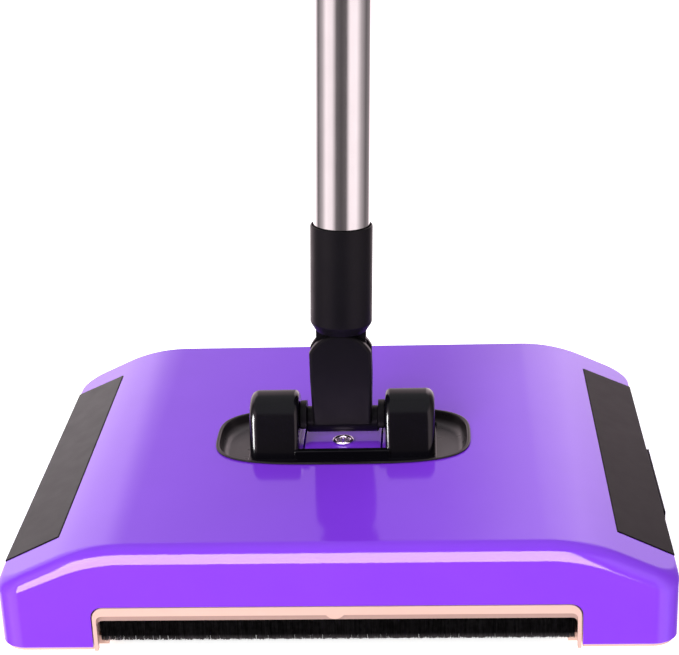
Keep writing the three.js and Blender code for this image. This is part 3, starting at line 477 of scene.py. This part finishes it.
# The opening steps in behind the face, so that a shaded lip runs under the bright one.
for top, depth in [(20.3, 4.6), (17.6, 8)]:
    opening = rounded_plan(98.5, 30, 2.4, 6)
    carve(trim, pull(outline("opening", [(x, -110, z + top - 30) for x, z in opening]), 0, depth, 0))
carve(trim, block("below", -120, 120, -120, -90, -60, 4))
tab = rod("tab", 4.6, (0, TRIM_FACE_Y, 23.1), (0, -105.2, 23.1))
carve(tab, block("tab_half", -10, 10, -120, -90, 0, 24), "INTERSECT")
carve(trim, tab, "UNION")
round_edges(trim, 0.45, 3, 50)
smooth(trim)
# A darker copy of the frame's peach, which paints shade over the whole bead.
bead_peach, bead_shader = moulded("bead_peach_painted_shade", (0.78, 0.51, 0.43), (0.76, 0.49, 0.41),
                                  0.35, (0.3, 0.42), 900, 0.00003, 0.2)
# Painted shade: the recessed lip under the face is painted a darker, duller peach, for the shade it
# sits in.
nodes, links = bead_peach.node_tree.nodes, bead_peach.node_tree.links
where, apart = nodes.new("ShaderNodeTexCoord"), nodes.new("ShaderNodeSeparateXYZ")
links.new(where.outputs["Object"], apart.inputs[0])
recess = nodes.new("ShaderNodeMapRange")
recess.inputs["From Min"].default_value = -0.1058
recess.inputs["From Max"].default_value = -0.1054
links.new(apart.outputs["Y"], recess.inputs["Value"])
shade = nodes.new("ShaderNodeMix")
shade.data_type = "RGBA"
shade.inputs["B"].default_value = (0.46, 0.29, 0.25, 1)
links.new(recess.outputs["Result"], shade.inputs["Factor"])
links.new(bead_shader.inputs["Base Color"].links[0].from_socket, shade.inputs["A"])
links.new(shade.outputs["Result"], bead_shader.inputs["Base Color"])
fit(trim, bead_peach, "head", "frame_peach", "front_trim")

# ---------------------------------------------------------------- brush roller
# Tufts of black nylon set in rows round a grey drum, which turns in two nylon bushes. The tufts at
# both ends stand 3 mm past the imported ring, and run through the base frame under the cover.
ROLLER_Y, ROLLER_Z, ROLLER_R, CORE_R, ROLLER_HALF = -83, 19.5, 19, 7, 96.8
TUFTS_ALONG, TUFTS_ROUND, STRANDS = 92, 32, 8
shaker = random.Random(4)
pitch = 2 * ROLLER_HALF / TUFTS_ALONG


def join_pieces(pieces):
    clear_selection()
    for piece in pieces:
        piece.select_set(True)
    bpy.context.view_layer.objects.active = pieces[0]
    bpy.ops.object.join()
    return bpy.context.object


strands = []
for strand in range(STRANDS):
    angle = 2.4 * strand
    out = 1.1 * math.sqrt((strand + 0.3) / STRANDS)
    length = ROLLER_R - CORE_R - 0.35 - 0.5 * shaker.random()
    clear_selection()
    bpy.ops.mesh.primitive_cone_add(
        vertices=3, radius1=0.0003, radius2=0.00024, depth=length / 1000, rotation=(0, 0, angle),
        location=millimetres(-ROLLER_HALF + pitch / 2 + out * math.cos(angle),
                             1.7 * out * math.sin(angle), CORE_R + 0.1 + length / 2))
    strands.append(bpy.context.object)
tufts = join_pieces(strands)
tufts.name = "bristle_tufts"
bpy.ops.object.transform_apply(location=True, rotation=True, scale=True)
apply_modifier(tufts, "ARRAY", count=TUFTS_ALONG, use_relative_offset=False,
               use_constant_offset=True, constant_offset_displace=(pitch / 1000, 0, 0))
edit(tufts)
round_step = 2 * math.pi / TUFTS_ROUND
bpy.ops.mesh.spin(steps=TUFTS_ROUND - 1, angle=round_step * (TUFTS_ROUND - 1), center=(0, 0, 0),
                  axis=(1, 0, 0), dupli=True)
bpy.ops.mesh.select_all(action="SELECT")
bpy.ops.transform.vertex_random(offset=0.0002, seed=7)
leave_edit()
# The rows wind round the drum, as the tufts are set in a spiral.
for vertex in tufts.data.vertices:
    vertex.co.rotate(Quaternion((1, 0, 0), vertex.co.x * 14))
    vertex.co += millimetres(0, ROLLER_Y, ROLLER_Z)
# Nearer the drum the filaments stand too close to see between, so a dark sleeve fills them out.
sleeve = rod("sleeve", 16.4, (-96.5, ROLLER_Y, ROLLER_Z), (96.5, ROLLER_Y, ROLLER_Z), 96)
carve(sleeve, rod("drum_space", CORE_R + 0.3, (-99, ROLLER_Y, ROLLER_Z), (99, ROLLER_Y, ROLLER_Z)))
tufts = join_pieces([tufts, sleeve])
bristle, nodes, links, shader, place = finish_of("black_nylon_filament", (0.008, 0.007, 0.008), 0.6)
speckle = two_tones(nodes, links, noise(nodes, links, place, 700, 2), (0.0015, 0.0014, 0.0015),
                    (0.006, 0.0055, 0.006))
# The filaments turn from black to grey towards their tips on the roller, and towards the lower edge of
# the front strip.
from_axis = nodes.new("ShaderNodeMapping")
from_axis.inputs["Location"].default_value = millimetres(0, -ROLLER_Y, -ROLLER_Z)
from_axis.inputs["Scale"].default_value = (0, 1, 1)
links.new(place, from_axis.inputs["Vector"])
reach = nodes.new("ShaderNodeVectorMath")
reach.operation = "LENGTH"
links.new(from_axis.outputs["Vector"], reach.inputs[0])
tip_greying = nodes.new("ShaderNodeMapRange")
tip_greying.inputs["From Min"].default_value = 0.0165
tip_greying.inputs["From Max"].default_value = 0.0188
links.new(reach.outputs["Value"], tip_greying.inputs["Value"])
apart = nodes.new("ShaderNodeSeparateXYZ")
links.new(place, apart.inputs[0])
in_fringe = nodes.new("ShaderNodeMath")
in_fringe.operation = "LESS_THAN"
in_fringe.inputs[1].default_value = -0.1024
links.new(apart.outputs["Y"], in_fringe.inputs[0])
hem = nodes.new("ShaderNodeMapRange")
hem.inputs["From Min"].default_value = 0.0096
hem.inputs["From Max"].default_value = 0.0072
links.new(apart.outputs["Z"], hem.inputs["Value"])
share = nodes.new("ShaderNodeMix")
links.new(in_fringe.outputs[0], share.inputs["Factor"])
links.new(tip_greying.outputs["Result"], share.inputs["A"])
links.new(hem.outputs["Result"], share.inputs["B"])
tips = nodes.new("ShaderNodeMix")
tips.data_type = "RGBA"
tips.inputs["B"].default_value = (0.07, 0.062, 0.065, 1)
links.new(share.outputs["Result"], tips.inputs["Factor"])
links.new(speckle, tips.inputs["A"])
links.new(tips.outputs["Result"], shader.inputs["Base Color"])
shader.inputs["Specular IOR Level"].default_value = 0.04
fit(tufts, bristle, "brush_roller", "bristle_black", "brush_bristles")

# ---------------------------------------------------------------- front fringe
# A strip of the same black filament behind the bead, cut level at its lower edge. It keeps dust
# from being thrown forwards, and hides the front of the roller. As a separate piece it is a guess.
FRINGE_HALF, FRINGE_TUFTS, FRINGE_STRANDS = 97.5, 39, 52
unit = 2 * FRINGE_HALF / FRINGE_TUFTS
strands = []
for strand in range(FRINGE_STRANDS):
    start = 7.05 + 0.9 * shaker.random() ** 3
    clear_selection()
    bpy.ops.mesh.primitive_cone_add(
        vertices=3, radius1=0.00013, radius2=0.00022, depth=(23.6 - start) / 1000,
        rotation=(0.008 * shaker.uniform(-1, 1), 0.012 * shaker.uniform(-1, 1), 6 * shaker.random()),
        location=millimetres(-FRINGE_HALF + unit * (strand + 0.5) / FRINGE_STRANDS,
                             -103.2 + 0.4 * math.sin(2.4 * strand), (start + 23.6) / 2))
    strands.append(bpy.context.object)
fringe = join_pieces(strands)
fringe.name = "front_bristle_strip"
bpy.ops.object.transform_apply(location=True, rotation=True, scale=True)
apply_modifier(fringe, "ARRAY", count=FRINGE_TUFTS, use_relative_offset=False,
               use_constant_offset=True, constant_offset_displace=(unit / 1000, 0, 0))
edit(fringe)
bpy.ops.transform.vertex_random(offset=0.00016, seed=3)
leave_edit()
fringe = join_pieces([fringe, block("backing", -FRINGE_HALF, FRINGE_HALF, -103.2, -102.7, 9, 23.8)])
fit(fringe, bristle, "head", "bristle_black", "front_fringe")

# ---------------------------------------------------------------- pivot dish
# A smoked black dish, moulded in polycarbonate, that drops into the cover's well. Its thin rim
# lies on the cover and its side curves down to a flat floor round the purple pad.
def stack(name, half_x, half_y, rings, cap=True):
    """Rings of one squared oval, each (inset, height), joined by walls into a skin."""
    points = squared_oval(half_x - rings[0][0], half_y - rings[0][0])
    piece = outline(name, [(x, y, rings[0][1]) for x, y in points], filled=False)
    edit(piece)
    for (inset, height), (following, rise) in zip(rings, rings[1:]):
        bpy.ops.mesh.extrude_edges_move(
            TRANSFORM_OT_translate={"value": millimetres(0, 0, rise - height)})
        factor = ((half_x - following) / (half_x - inset), (half_y - following) / (half_y - inset), 1)
        bpy.ops.transform.resize(value=factor, center_override=millimetres(0, WELL_Y, 0))
    if cap:
        bpy.ops.mesh.edge_face_add()
    leave_edit()
    return piece


dish = stack("pivot_dish", WELL_X, WELL_DEPTH_Y, [
    (12, 44.4), (1.6, 44.4), (1.6, 51.3), (0.1, 51.32), (0, 51.45), (0.05, 51.62), (0.3, 51.77),
    (0.8, 51.8), (1.3, 51.72), (1.6, 51.45), (1.85, 50.6), (2.4, 48.6), (3.2, 47.2), (4.4, 46.3),
    (6, 45.95), (12, 45.9)])
edit(dish)
bpy.ops.mesh.select_all(action="DESELECT")
bpy.ops.mesh.select_non_manifold()
bpy.ops.mesh.edge_face_add()
bpy.ops.mesh.select_all(action="SELECT")
bpy.ops.mesh.normals_make_consistent(inside=False)
leave_edit()
carve(dish, block("window", -20.6, 20.6, -15.6, 14.8, 40, 60))
smooth(dish, 40)
smoke, smoke_shader = moulded("smoked_black_plastic", (0.072, 0.062, 0.068), (0.08, 0.07, 0.076),
                              0.3, (0.26, 0.36), 1400, 0.00003, 0.25)
smoke_shader.inputs["Specular IOR Level"].default_value = 0.3
# Painted shade: the smoked wall and rim are painted darker than the frosted floor, standing in for the
# shade that falls on them.
nodes, links = smoke.node_tree.nodes, smoke.node_tree.links
where, apart = nodes.new("ShaderNodeTexCoord"), nodes.new("ShaderNodeSeparateXYZ")
links.new(where.outputs["Object"], apart.inputs[0])
wall = nodes.new("ShaderNodeMapRange")
wall.inputs["From Min"].default_value = 0.0465
wall.inputs["From Max"].default_value = 0.0486
links.new(apart.outputs["Z"], wall.inputs["Value"])
shade = nodes.new("ShaderNodeMix")
shade.data_type = "RGBA"
shade.inputs["B"].default_value = (0.012, 0.0095, 0.011, 1)
links.new(wall.outputs["Result"], shade.inputs["Factor"])
links.new(smoke_shader.inputs["Base Color"].links[0].from_socket, shade.inputs["A"])
links.new(shade.outputs["Result"], smoke_shader.inputs["Base Color"])
fit(dish, smoke, "head", "bezel_smoke", "pivot_bezel")

# ---------------------------------------------------------------- pivot bracket
# One gloss black moulding: a base that frames the pad, two stout cheeks with a front that slopes
# and a drum-round top, and low bars between them. Screws from below hold it in the dish.
PIVOT_Z, CHEEK_IN, CHEEK_OUT, CHEEK_R, CHEEK_FRONT_Y = 59, 19.4, 41.8, 13.5, -18
PLINTH_Z = 46.2


def bevel_chosen(piece, choose, radius, segments=5):
    """Rounds the edges that a test picks, each by its own share of the radius."""
    chosen = piece.data.attributes.get("bevel_weight_edge")
    if not chosen:
        chosen = piece.data.attributes.new("bevel_weight_edge", "FLOAT", "EDGE")
    points = piece.data.vertices
    for edge in piece.data.edges:
        a, b = (points[i].co * 1000 for i in edge.vertices)
        chosen.data[edge.index].value = choose(a, b)
    apply_modifier(piece, "BEVEL", width=radius / 1000, segments=segments, limit_method="WEIGHT")


def cheek(side):
    """A cheek: its side view is drawn, pulled to its width, and its rims are rounded."""
    slope = math.radians(19)
    points = [(CHEEK_FRONT_Y, PLINTH_Z), (CHEEK_R, PLINTH_Z)]
    for i in range(37):
        angle = (math.pi - slope) * i / 36
        points.append((CHEEK_R * math.cos(angle), PIVOT_Z + CHEEK_R * math.sin(angle)))
    piece = outline("cheek", [(side * CHEEK_IN, y, z) for y, z in points])
    pull(piece, side * (CHEEK_OUT - CHEEK_IN), 0, 0)

    def rim(a, b):
        if abs(a.x - b.x) > 0.1 or a.z < PLINTH_Z + 0.1 and b.z < PLINTH_Z + 0.1:
            return 0
        return 1 if abs(a.x) > CHEEK_OUT - 0.1 else 0.62

    bevel_chosen(piece, rim, 4, 7)
    return piece


bracket = plan_block("pivot_cheeks", squared_oval(WELL_X - 3.6, WELL_DEPTH_Y - 3.6),
                     PLINTH_Z, PLINTH_Z + 1.3)
carve(bracket, block("ends", -42.5, 42.5, -40, 20, 40, 60), "INTERSECT")
bevel_chosen(bracket, lambda a, b: 1 if min(a.z, b.z) > PLINTH_Z + 1 else 0, 0.5, 2)
carve(bracket, block("window", -20.2, 20.2, -14.8, 14.1, 40, 60))
for y0, y1 in [(-18.2, -14.8), (14.1, 18)]:
    bar = block("bar", -CHEEK_IN - 2, CHEEK_IN + 2, y0, y1, PLINTH_Z, CROWN_Z + 0.4)
    round_edges(bar, 0.6, 3)
    carve(bracket, bar, "UNION")
for side in (-1, 1):
    carve(bracket, cheek(side), "UNION")
carve(bracket, rod("shaft_hole", 3.3, (-39, 0, PIVOT_Z), (39, 0, PIVOT_Z)))
smooth(bracket, 30)
gloss_black, gloss_shader = moulded("gloss_black_plastic", (0.0035, 0.003, 0.005),
                                    (0.0045, 0.004, 0.006), 0.14, (0.12, 0.17), 900, 0.00002, 0.08)
gloss_shader.inputs["Specular IOR Level"].default_value = 0.38
fit(bracket, gloss_black, "head", "pivot_black", "pivot_bracket")
side_box = soft_box("side_box", (-1.07, -0.5, 0.26), (0, 0, 0.055), 0.45, 0.5, 35, diffuse=False)
light_only(side_box, bracket)


# ---------------------------------------------------------------- clamp screw
# A bright plated screw with a dished head and a cross recess, which holds the housing down
# through the pad.
def lathe(name, profile, place=Matrix(), steps=72):
    """A turned piece: half its section, as (radius, height), is drawn and spun round."""
    piece = outline(name, [(r, 0, z) for r, z in profile], filled=False,
                    closed=profile[0][0] > 0)
    edit(piece)
    bpy.ops.mesh.spin(steps=steps, angle=2 * math.pi, center=(0, 0, 0), axis=(0, 0, 1))
    bpy.ops.mesh.select_all(action="SELECT")
    bpy.ops.mesh.remove_doubles(threshold=0.000002)
    bpy.ops.mesh.normals_make_consistent(inside=False)
    leave_edit()
    put(piece, place)
    return piece


def put(piece, place):
    clear_selection()
    piece.select_set(True)
    bpy.context.view_layer.objects.active = piece
    piece.matrix_world = place
    bpy.ops.object.transform_apply(location=True, rotation=True, scale=True)


def cross_recess(piece, x, y, top, depth, reach, width):
    for half_x, half_y in [(reach, width), (width, reach)]:
        arm = block("arm", x - half_x, x + half_x, y - half_y, y + half_y, top - depth, top + 2)
        carve(piece, arm)


CLAMP_Y = -5
clamp = lathe("clamp_screw_head", [(0, 44.6), (2, 44.6), (2, 50.3), (4.7, 50.3), (4.85, 50.6),
                                   (4.75, 50.95), (4.4, 51.25), (3.9, 51.35), (3.4, 51.25),
                                   (3.05, 50.95), (2.9, 50.6), (0, 50.5)],
              Matrix.Translation(millimetres(0, CLAMP_Y, 0)))
cross_recess(clamp, 0, CLAMP_Y, 50.5, 1.4, 2, 0.4)
smooth(clamp, 50)


def metal(name, colour, other, roughness, gloss_range, streak, depth, strength):
    """Plated or bare metal: uneven gloss and fine drawn lines along its length."""
    material, nodes, links, shader, place = finish_of(name, colour, roughness, 1.0)
    links.new(two_tones(nodes, links, noise(nodes, links, place, 60), colour, other),
              shader.inputs["Base Color"])
    stretch = nodes.new("ShaderNodeMapping")
    stretch.inputs["Scale"].default_value = streak
    links.new(place, stretch.inputs["Vector"])
    lines = noise(nodes, links, stretch.outputs["Vector"], 100, 3)
    links.new(spread(nodes, links, lines, *gloss_range), shader.inputs["Roughness"])
    bumps(nodes, links, shader, lines, depth, strength)
    return material, shader


screw_metal, _ = metal("plated_screw_steel", (0.8, 0.72, 0.86), (0.75, 0.67, 0.8), 0.2,
                       (0.15, 0.28), (6, 6, 6), 0.00002, 0.15)
fit(clamp, screw_metal, "head", "screw_steel", "clamp_screw")
screw_box = soft_box("screw_box", (-0.1, -0.5, 1.0), (0, 0, 0.05), 1.1, 1.1, 30, diffuse=False)
screw_box.data.color = (1, 0.88, 1)
light_only(screw_box, clamp)

# ---------------------------------------------------------------- pivot yoke
# A flat black stem on a round barrel, moulded in glass-filled nylon. The barrel turns on a steel
# shaft between the cheeks, and a slot in the stem's round head takes the handle's tongue.
LEAN, SIDE_TILT, SWING_UP = math.radians(4), math.radians(2), 27
BARREL_R, BARREL_HALF, KNUCKLE_R = 5.9, 16.4, 15.35
STEM_FOOT, STEM_TOP, KNEE_UP, STEM_THICK, SLOT = 13.2, 13.9, 20.4, 7.5, 3.2
YOKE_PLACE = Matrix.Translation(millimetres(0, 0, PIVOT_Z)) @ Matrix.Rotation(-LEAN, 4, "X")
HANDLE_PLACE = (YOKE_PLACE @ Matrix.Translation(millimetres(0, 0, SWING_UP))
                @ Matrix.Rotation(SIDE_TILT, 4, "Y")
                @ Matrix.Translation(millimetres(0, 0, -SWING_UP)))

knee = math.acos(STEM_TOP / KNUCKLE_R)
points = [(-STEM_FOOT, 0), (STEM_FOOT, 0), (STEM_TOP, KNEE_UP)]
for i in range(41):
    angle = knee + (math.pi - 2 * knee) * i / 40
    points.append((KNUCKLE_R * math.cos(angle), SWING_UP + KNUCKLE_R * math.sin(angle)))
points.append((-STEM_TOP, KNEE_UP))
yoke = pull(outline("pivot_stem", [(x, -STEM_THICK, z) for x, z in points]), 0, 2 * STEM_THICK, 0)
bevel_chosen(yoke, lambda a, b: 1 if abs(a.y - b.y) < 0.1 and max(a.z, b.z) > 1 else 0, 1.6, 4)
barrel = rod("barrel", BARREL_R, (-BARREL_HALF, 0, 0), (BARREL_HALF, 0, 0), 64)
round_edges(barrel, 0.8, 3)
carve(yoke, barrel, "UNION")
for side in (-1, 1):
    points = [(4.6 * math.cos(a), 4.6 * math.sin(a))
              for a in (math.radians(190 + 160 * i / 12) for i in range(13))]
    points += [(8.6 * math.cos(a), 8.6 * math.sin(a))
               for a in (math.radians(-10 + 200 * i / 24) for i in range(25))]
    cam = pull(outline("cam", [(side * 16.2, y, z) for y, z in points]), side * 3, 0, 0)
    bevel_chosen(cam, lambda a, b: 1 if abs(a.x - b.x) < 0.1 and abs(a.x) > 19 else 0, 0.5, 2)
    carve(yoke, cam, "UNION")
carve(yoke, rod("bore", 3.3, (-30, 0, 0), (30, 0, 0)))
carve(yoke, block("slot", -30, 30, -SLOT, SLOT, SWING_UP - 11.8, 60))
carve(yoke, rod("pin_hole", 2.3, (0, -6, SWING_UP), (0, 30, SWING_UP)))
put(yoke, YOKE_PLACE)
smooth(yoke, 30)
satin_black, satin_shader = moulded("satin_black_nylon", (0.006, 0.0052, 0.0066),
                                    (0.0078, 0.0068, 0.0084), 0.38, (0.34, 0.42), 2200, 0.00004, 0.2)
satin_shader.inputs["Specular IOR Level"].default_value = 0.12
fit(yoke, satin_black, "yoke", "handle_black", "pivot_yoke")

pin = lathe("swing_pin_head", [(0, -5.7), (2, -5.7), (2, 7.8), (3.6, 7.8), (3.6, 8.7), (3.2, 9.2),
                               (1.4, 9.3), (1.2, 9), (0, 9)],
            YOKE_PLACE @ Matrix.Translation(millimetres(0, 0, SWING_UP))
            @ Matrix.Rotation(-math.pi / 2, 4, "X"), 40)
smooth(pin, 40)
steel, _ = metal("turned_steel", (0.5, 0.49, 0.48), (0.42, 0.41, 0.4), 0.3, (0.22, 0.38),
                 (8, 8, 8), 0.00002, 0.2)
fit(pin, steel, "yoke", "pin_steel", "swing_pin")

# ---------------------------------------------------------------- handle socket
# A black nylon collar with a flat tongue. The tongue swings on the pin in the yoke, and the
# collar's bore grips the lowest tube.
COLLAR_R, COLLAR_START, COLLAR_RIM, TONGUE = 13.8, 42.7, 91.4, 11.2
TUBE_R, TUBE_BORE_R, TUBE_START = 12.5, 11.3, 53.5
collar = lathe("tube_collar", [
    (0, COLLAR_START), (TONGUE, COLLAR_START), (COLLAR_R - 0.3, COLLAR_START + 3.6),
    (COLLAR_R, COLLAR_START + 4.4), (COLLAR_R, COLLAR_RIM - 0.7), (COLLAR_R - 0.15, COLLAR_RIM - 0.25),
    (COLLAR_R - 0.5, COLLAR_RIM), (TUBE_R + 0.6, COLLAR_RIM - 0.1), (TUBE_R + 0.3, COLLAR_RIM - 0.7),
    (TUBE_R + 0.3, TUBE_START - 0.3), (0, TUBE_START - 0.3)], steps=96)
points = [(TONGUE, COLLAR_START + 1), (-TONGUE, COLLAR_START + 1)]
for i in range(25):
    angle = math.pi + math.pi * i / 24
    points.append((TONGUE * math.cos(angle), SWING_UP + TONGUE * math.sin(angle)))
tongue = pull(outline("tongue", [(x, -SLOT + 0.3, z) for x, z in points]), 0, 2 * SLOT - 0.6, 0)
bevel_chosen(tongue, lambda a, b: 1 if abs(a.y - b.y) < 0.1 and max(a.z, b.z) < COLLAR_START + 1
             else 0, 0.5, 2)
carve(collar, tongue, "UNION")
carve(collar, rod("pin_hole", 2.3, (0, -30, SWING_UP), (0, 30, SWING_UP)))
put(collar, HANDLE_PLACE)
smooth(collar, 35)
fit(collar, satin_black, "handle", "handle_black", "handle_socket")

# ---------------------------------------------------------------- tubes and couplers
# Three thin-walled steel tubes, drawn and chrome plated, pushed over the spigots of two black
# couplers. A round spring button locks each joint.
TUBE_ENDS, COUPLER_LENGTH = (378, 724, 1050), 25.7
chrome, _ = metal("chrome_plate", (0.76, 0.79, 0.78), (0.73, 0.76, 0.75), 0.12,
                  (0.08, 0.17), (14, 14, 0.4), 0.00001, 0.12)
starts = (TUBE_START, TUBE_ENDS[0] + COUPLER_LENGTH + 0.3, TUBE_ENDS[1] + COUPLER_LENGTH + 0.3)
for name, start, end in zip(("lower", "middle", "upper"), starts, TUBE_ENDS):
    tube = lathe(name + "_chrome_tube", [
        (TUBE_BORE_R, start), (TUBE_R - 0.3, start), (TUBE_R - 0.08, start + 0.1),
        (TUBE_R, start + 0.4), (TUBE_R, end - 0.4), (TUBE_R - 0.08, end - 0.1), (TUBE_R - 0.3, end),
        (TUBE_BORE_R, end)], HANDLE_PLACE, 128)
    smooth(tube, 40)
    fit(tube, chrome, "handle", "tube_chrome", name + "_tube")

for name, at in (("lower", TUBE_ENDS[0]), ("upper", TUBE_ENDS[1])):
    low, high, body, spigot = at + 0.3, at + COUPLER_LENGTH, 13.8, 11
    profile = [(0, low - 18), (spigot - 0.6, low - 18), (spigot, low - 17), (spigot, low),
               (body - 0.9, low), (body - 0.2, low + 0.4), (body, low + 1.2)]
    for i in range(5):
        groove = low + 7.2 + 2.6 * i
        profile += [(body, groove - 0.7), (body - 0.55, groove - 0.3), (body - 0.55, groove + 0.3),
                    (body, groove + 0.7)]
    profile += [(body, high - 1.2), (body - 0.2, high - 0.4), (body - 0.9, high), (spigot, high),
                (spigot, high + 17), (spigot - 0.6, high + 18), (0, high + 18)]
    coupler = lathe(name + "_ribbed_coupler", profile, HANDLE_PLACE, 80)
    smooth(coupler, 40)
    fit(coupler, satin_black, "handle", "handle_black", name + "_coupler")

# ---------------------------------------------------------------- hand grip and its cap
# A black rubber sleeve with moulded finger rings over the top tube, closed by a nylon cap with
# a loop to hang the sweeper up.
GRIP_START, CAP_TOP = 945, 1082
rubber, _ = moulded("matt_black_rubber", (0.014, 0.0138, 0.0142), (0.02, 0.0196, 0.02), 0.75,
                    (0.68, 0.85), 1800, 0.0002, 0.5)
grip_top = TUBE_ENDS[2]
profile = [(12.8, GRIP_START), (14.9, GRIP_START), (15.5, GRIP_START + 1), (15.8, GRIP_START + 3),
           (15.8, GRIP_START + 12), (15.4, GRIP_START + 13.5)]
for i in range(13):
    ring = GRIP_START + 17 + 5.6 * i
    profile += [(14.7, ring - 1.4), (15.35, ring - 0.6), (15.45, ring + 1.6), (14.9, ring + 2.6)]
profile += [(15.4, grip_top - 13), (15.8, grip_top - 11), (15.8, grip_top - 2),
            (15.4, grip_top + 0.4), (14.9, grip_top + 1), (12.8, grip_top + 1)]
grip = lathe("rubber_grip", profile, HANDLE_PLACE, 72)
smooth(grip, 50)
fit(grip, rubber, "handle", "tyre_rubber", "hand_grip")

base = grip_top + 1.3
cap = lathe("hang_loop_cap", [(0, base - 18), (10.4, base - 18), (11, base - 17.4), (11, base),
                              (15, base), (15.3, base + 0.3), (15.3, base + 2.6), (14.9, base + 3.4),
                              (13.2, base + 5.5), (12, base + 6), (0, base + 6)])
points = [(-11, base + 4), (11, base + 4)]
for i in range(33):
    angle = math.pi * i / 32
    points.append((11 * math.cos(angle), CAP_TOP - 11 + 11 * math.sin(angle)))
loop = pull(outline("loop", [(x, -4.5, z) for x, z in points]), 0, 9, 0)
bevel_chosen(loop, lambda a, b: 1 if abs(a.y - b.y) < 0.1 and max(a.z, b.z) > base + 5 else 0, 1.8, 4)
carve(cap, loop, "UNION")
eye = rod("eye", 5.5, (0, -30, CAP_TOP - 11), (0, 30, CAP_TOP - 11))
carve(cap, eye)
put(cap, HANDLE_PLACE)
smooth(cap, 35)
fit(cap, satin_black, "handle", "handle_black", "grip_cap")

# ---------------------------------------------------------------- tray door and its pull
# The purple end of the dust tray, flush with the head's right side, with a slim black strip on
# two posts to pull it by.
door = block("tray_end", 136.4, 139.6, -25.5, 61.6, 8.5, 31)
round_edges(door, 0.6, 3)
smooth(door)
fit(door, purple, "tray", "cover_purple", "tray_door")
strip = block("pull_strip", 142, 143.5, -27, 38, 15, 24)
bevel_chosen(strip, lambda a, b: 1 if abs(a.x - b.x) > 0.1 else 0.22, 2.6, 4)
for y in (-21, 36):
    carve(strip, block("post", 139.9, 142.5, y - 2, y + 2, 15.6, 23.4), "UNION")
smooth(strip)
fit(strip, panel_black, "tray", "panel_black", "tray_pull_lip")
tray_grey, _ = moulded("grey_tray_plastic", (0.16, 0.155, 0.165), (0.18, 0.174, 0.185), 0.5,
                       (0.44, 0.56), 1500, 0.00004, 0.25)
nylon, _ = moulded("natural_nylon", (0.78, 0.75, 0.68), (0.74, 0.71, 0.64), 0.5, (0.42, 0.55),
                   1200, 0.00004, 0.2)

# ---------------------------------------------------------------- running gear
# Wheels, axles, gears and screws inside and under the head, with the finishes of their stock.
kept = {
    "dust_tray": tray_grey, "brush_core": tray_grey, "left_drive_wheel": tray_grey,
    "right_drive_wheel": tray_grey, "left_rear_wheel": tray_grey, "right_rear_wheel": tray_grey,
    "left_drive_tyre": rubber, "right_drive_tyre": rubber, "scoop_ramp": rubber,
    "drive_gear": nylon, "idler_gear": nylon, "roller_pinion": nylon, "left_roller_bush": nylon,
    "right_roller_bush": nylon, "pivot_shaft": steel, "left_drive_axle": steel,
    "right_drive_axle": steel, "idler_pin": steel, "left_rear_axle": steel,
    "right_rear_axle": steel, "base_screw_1": screw_metal, "base_screw_2": screw_metal,
    "base_screw_3": screw_metal, "base_screw_4": screw_metal,
}
for name, material in kept.items():
    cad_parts[name].data.materials.clear()
    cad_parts[name].data.materials.append(material)

clear_selection()
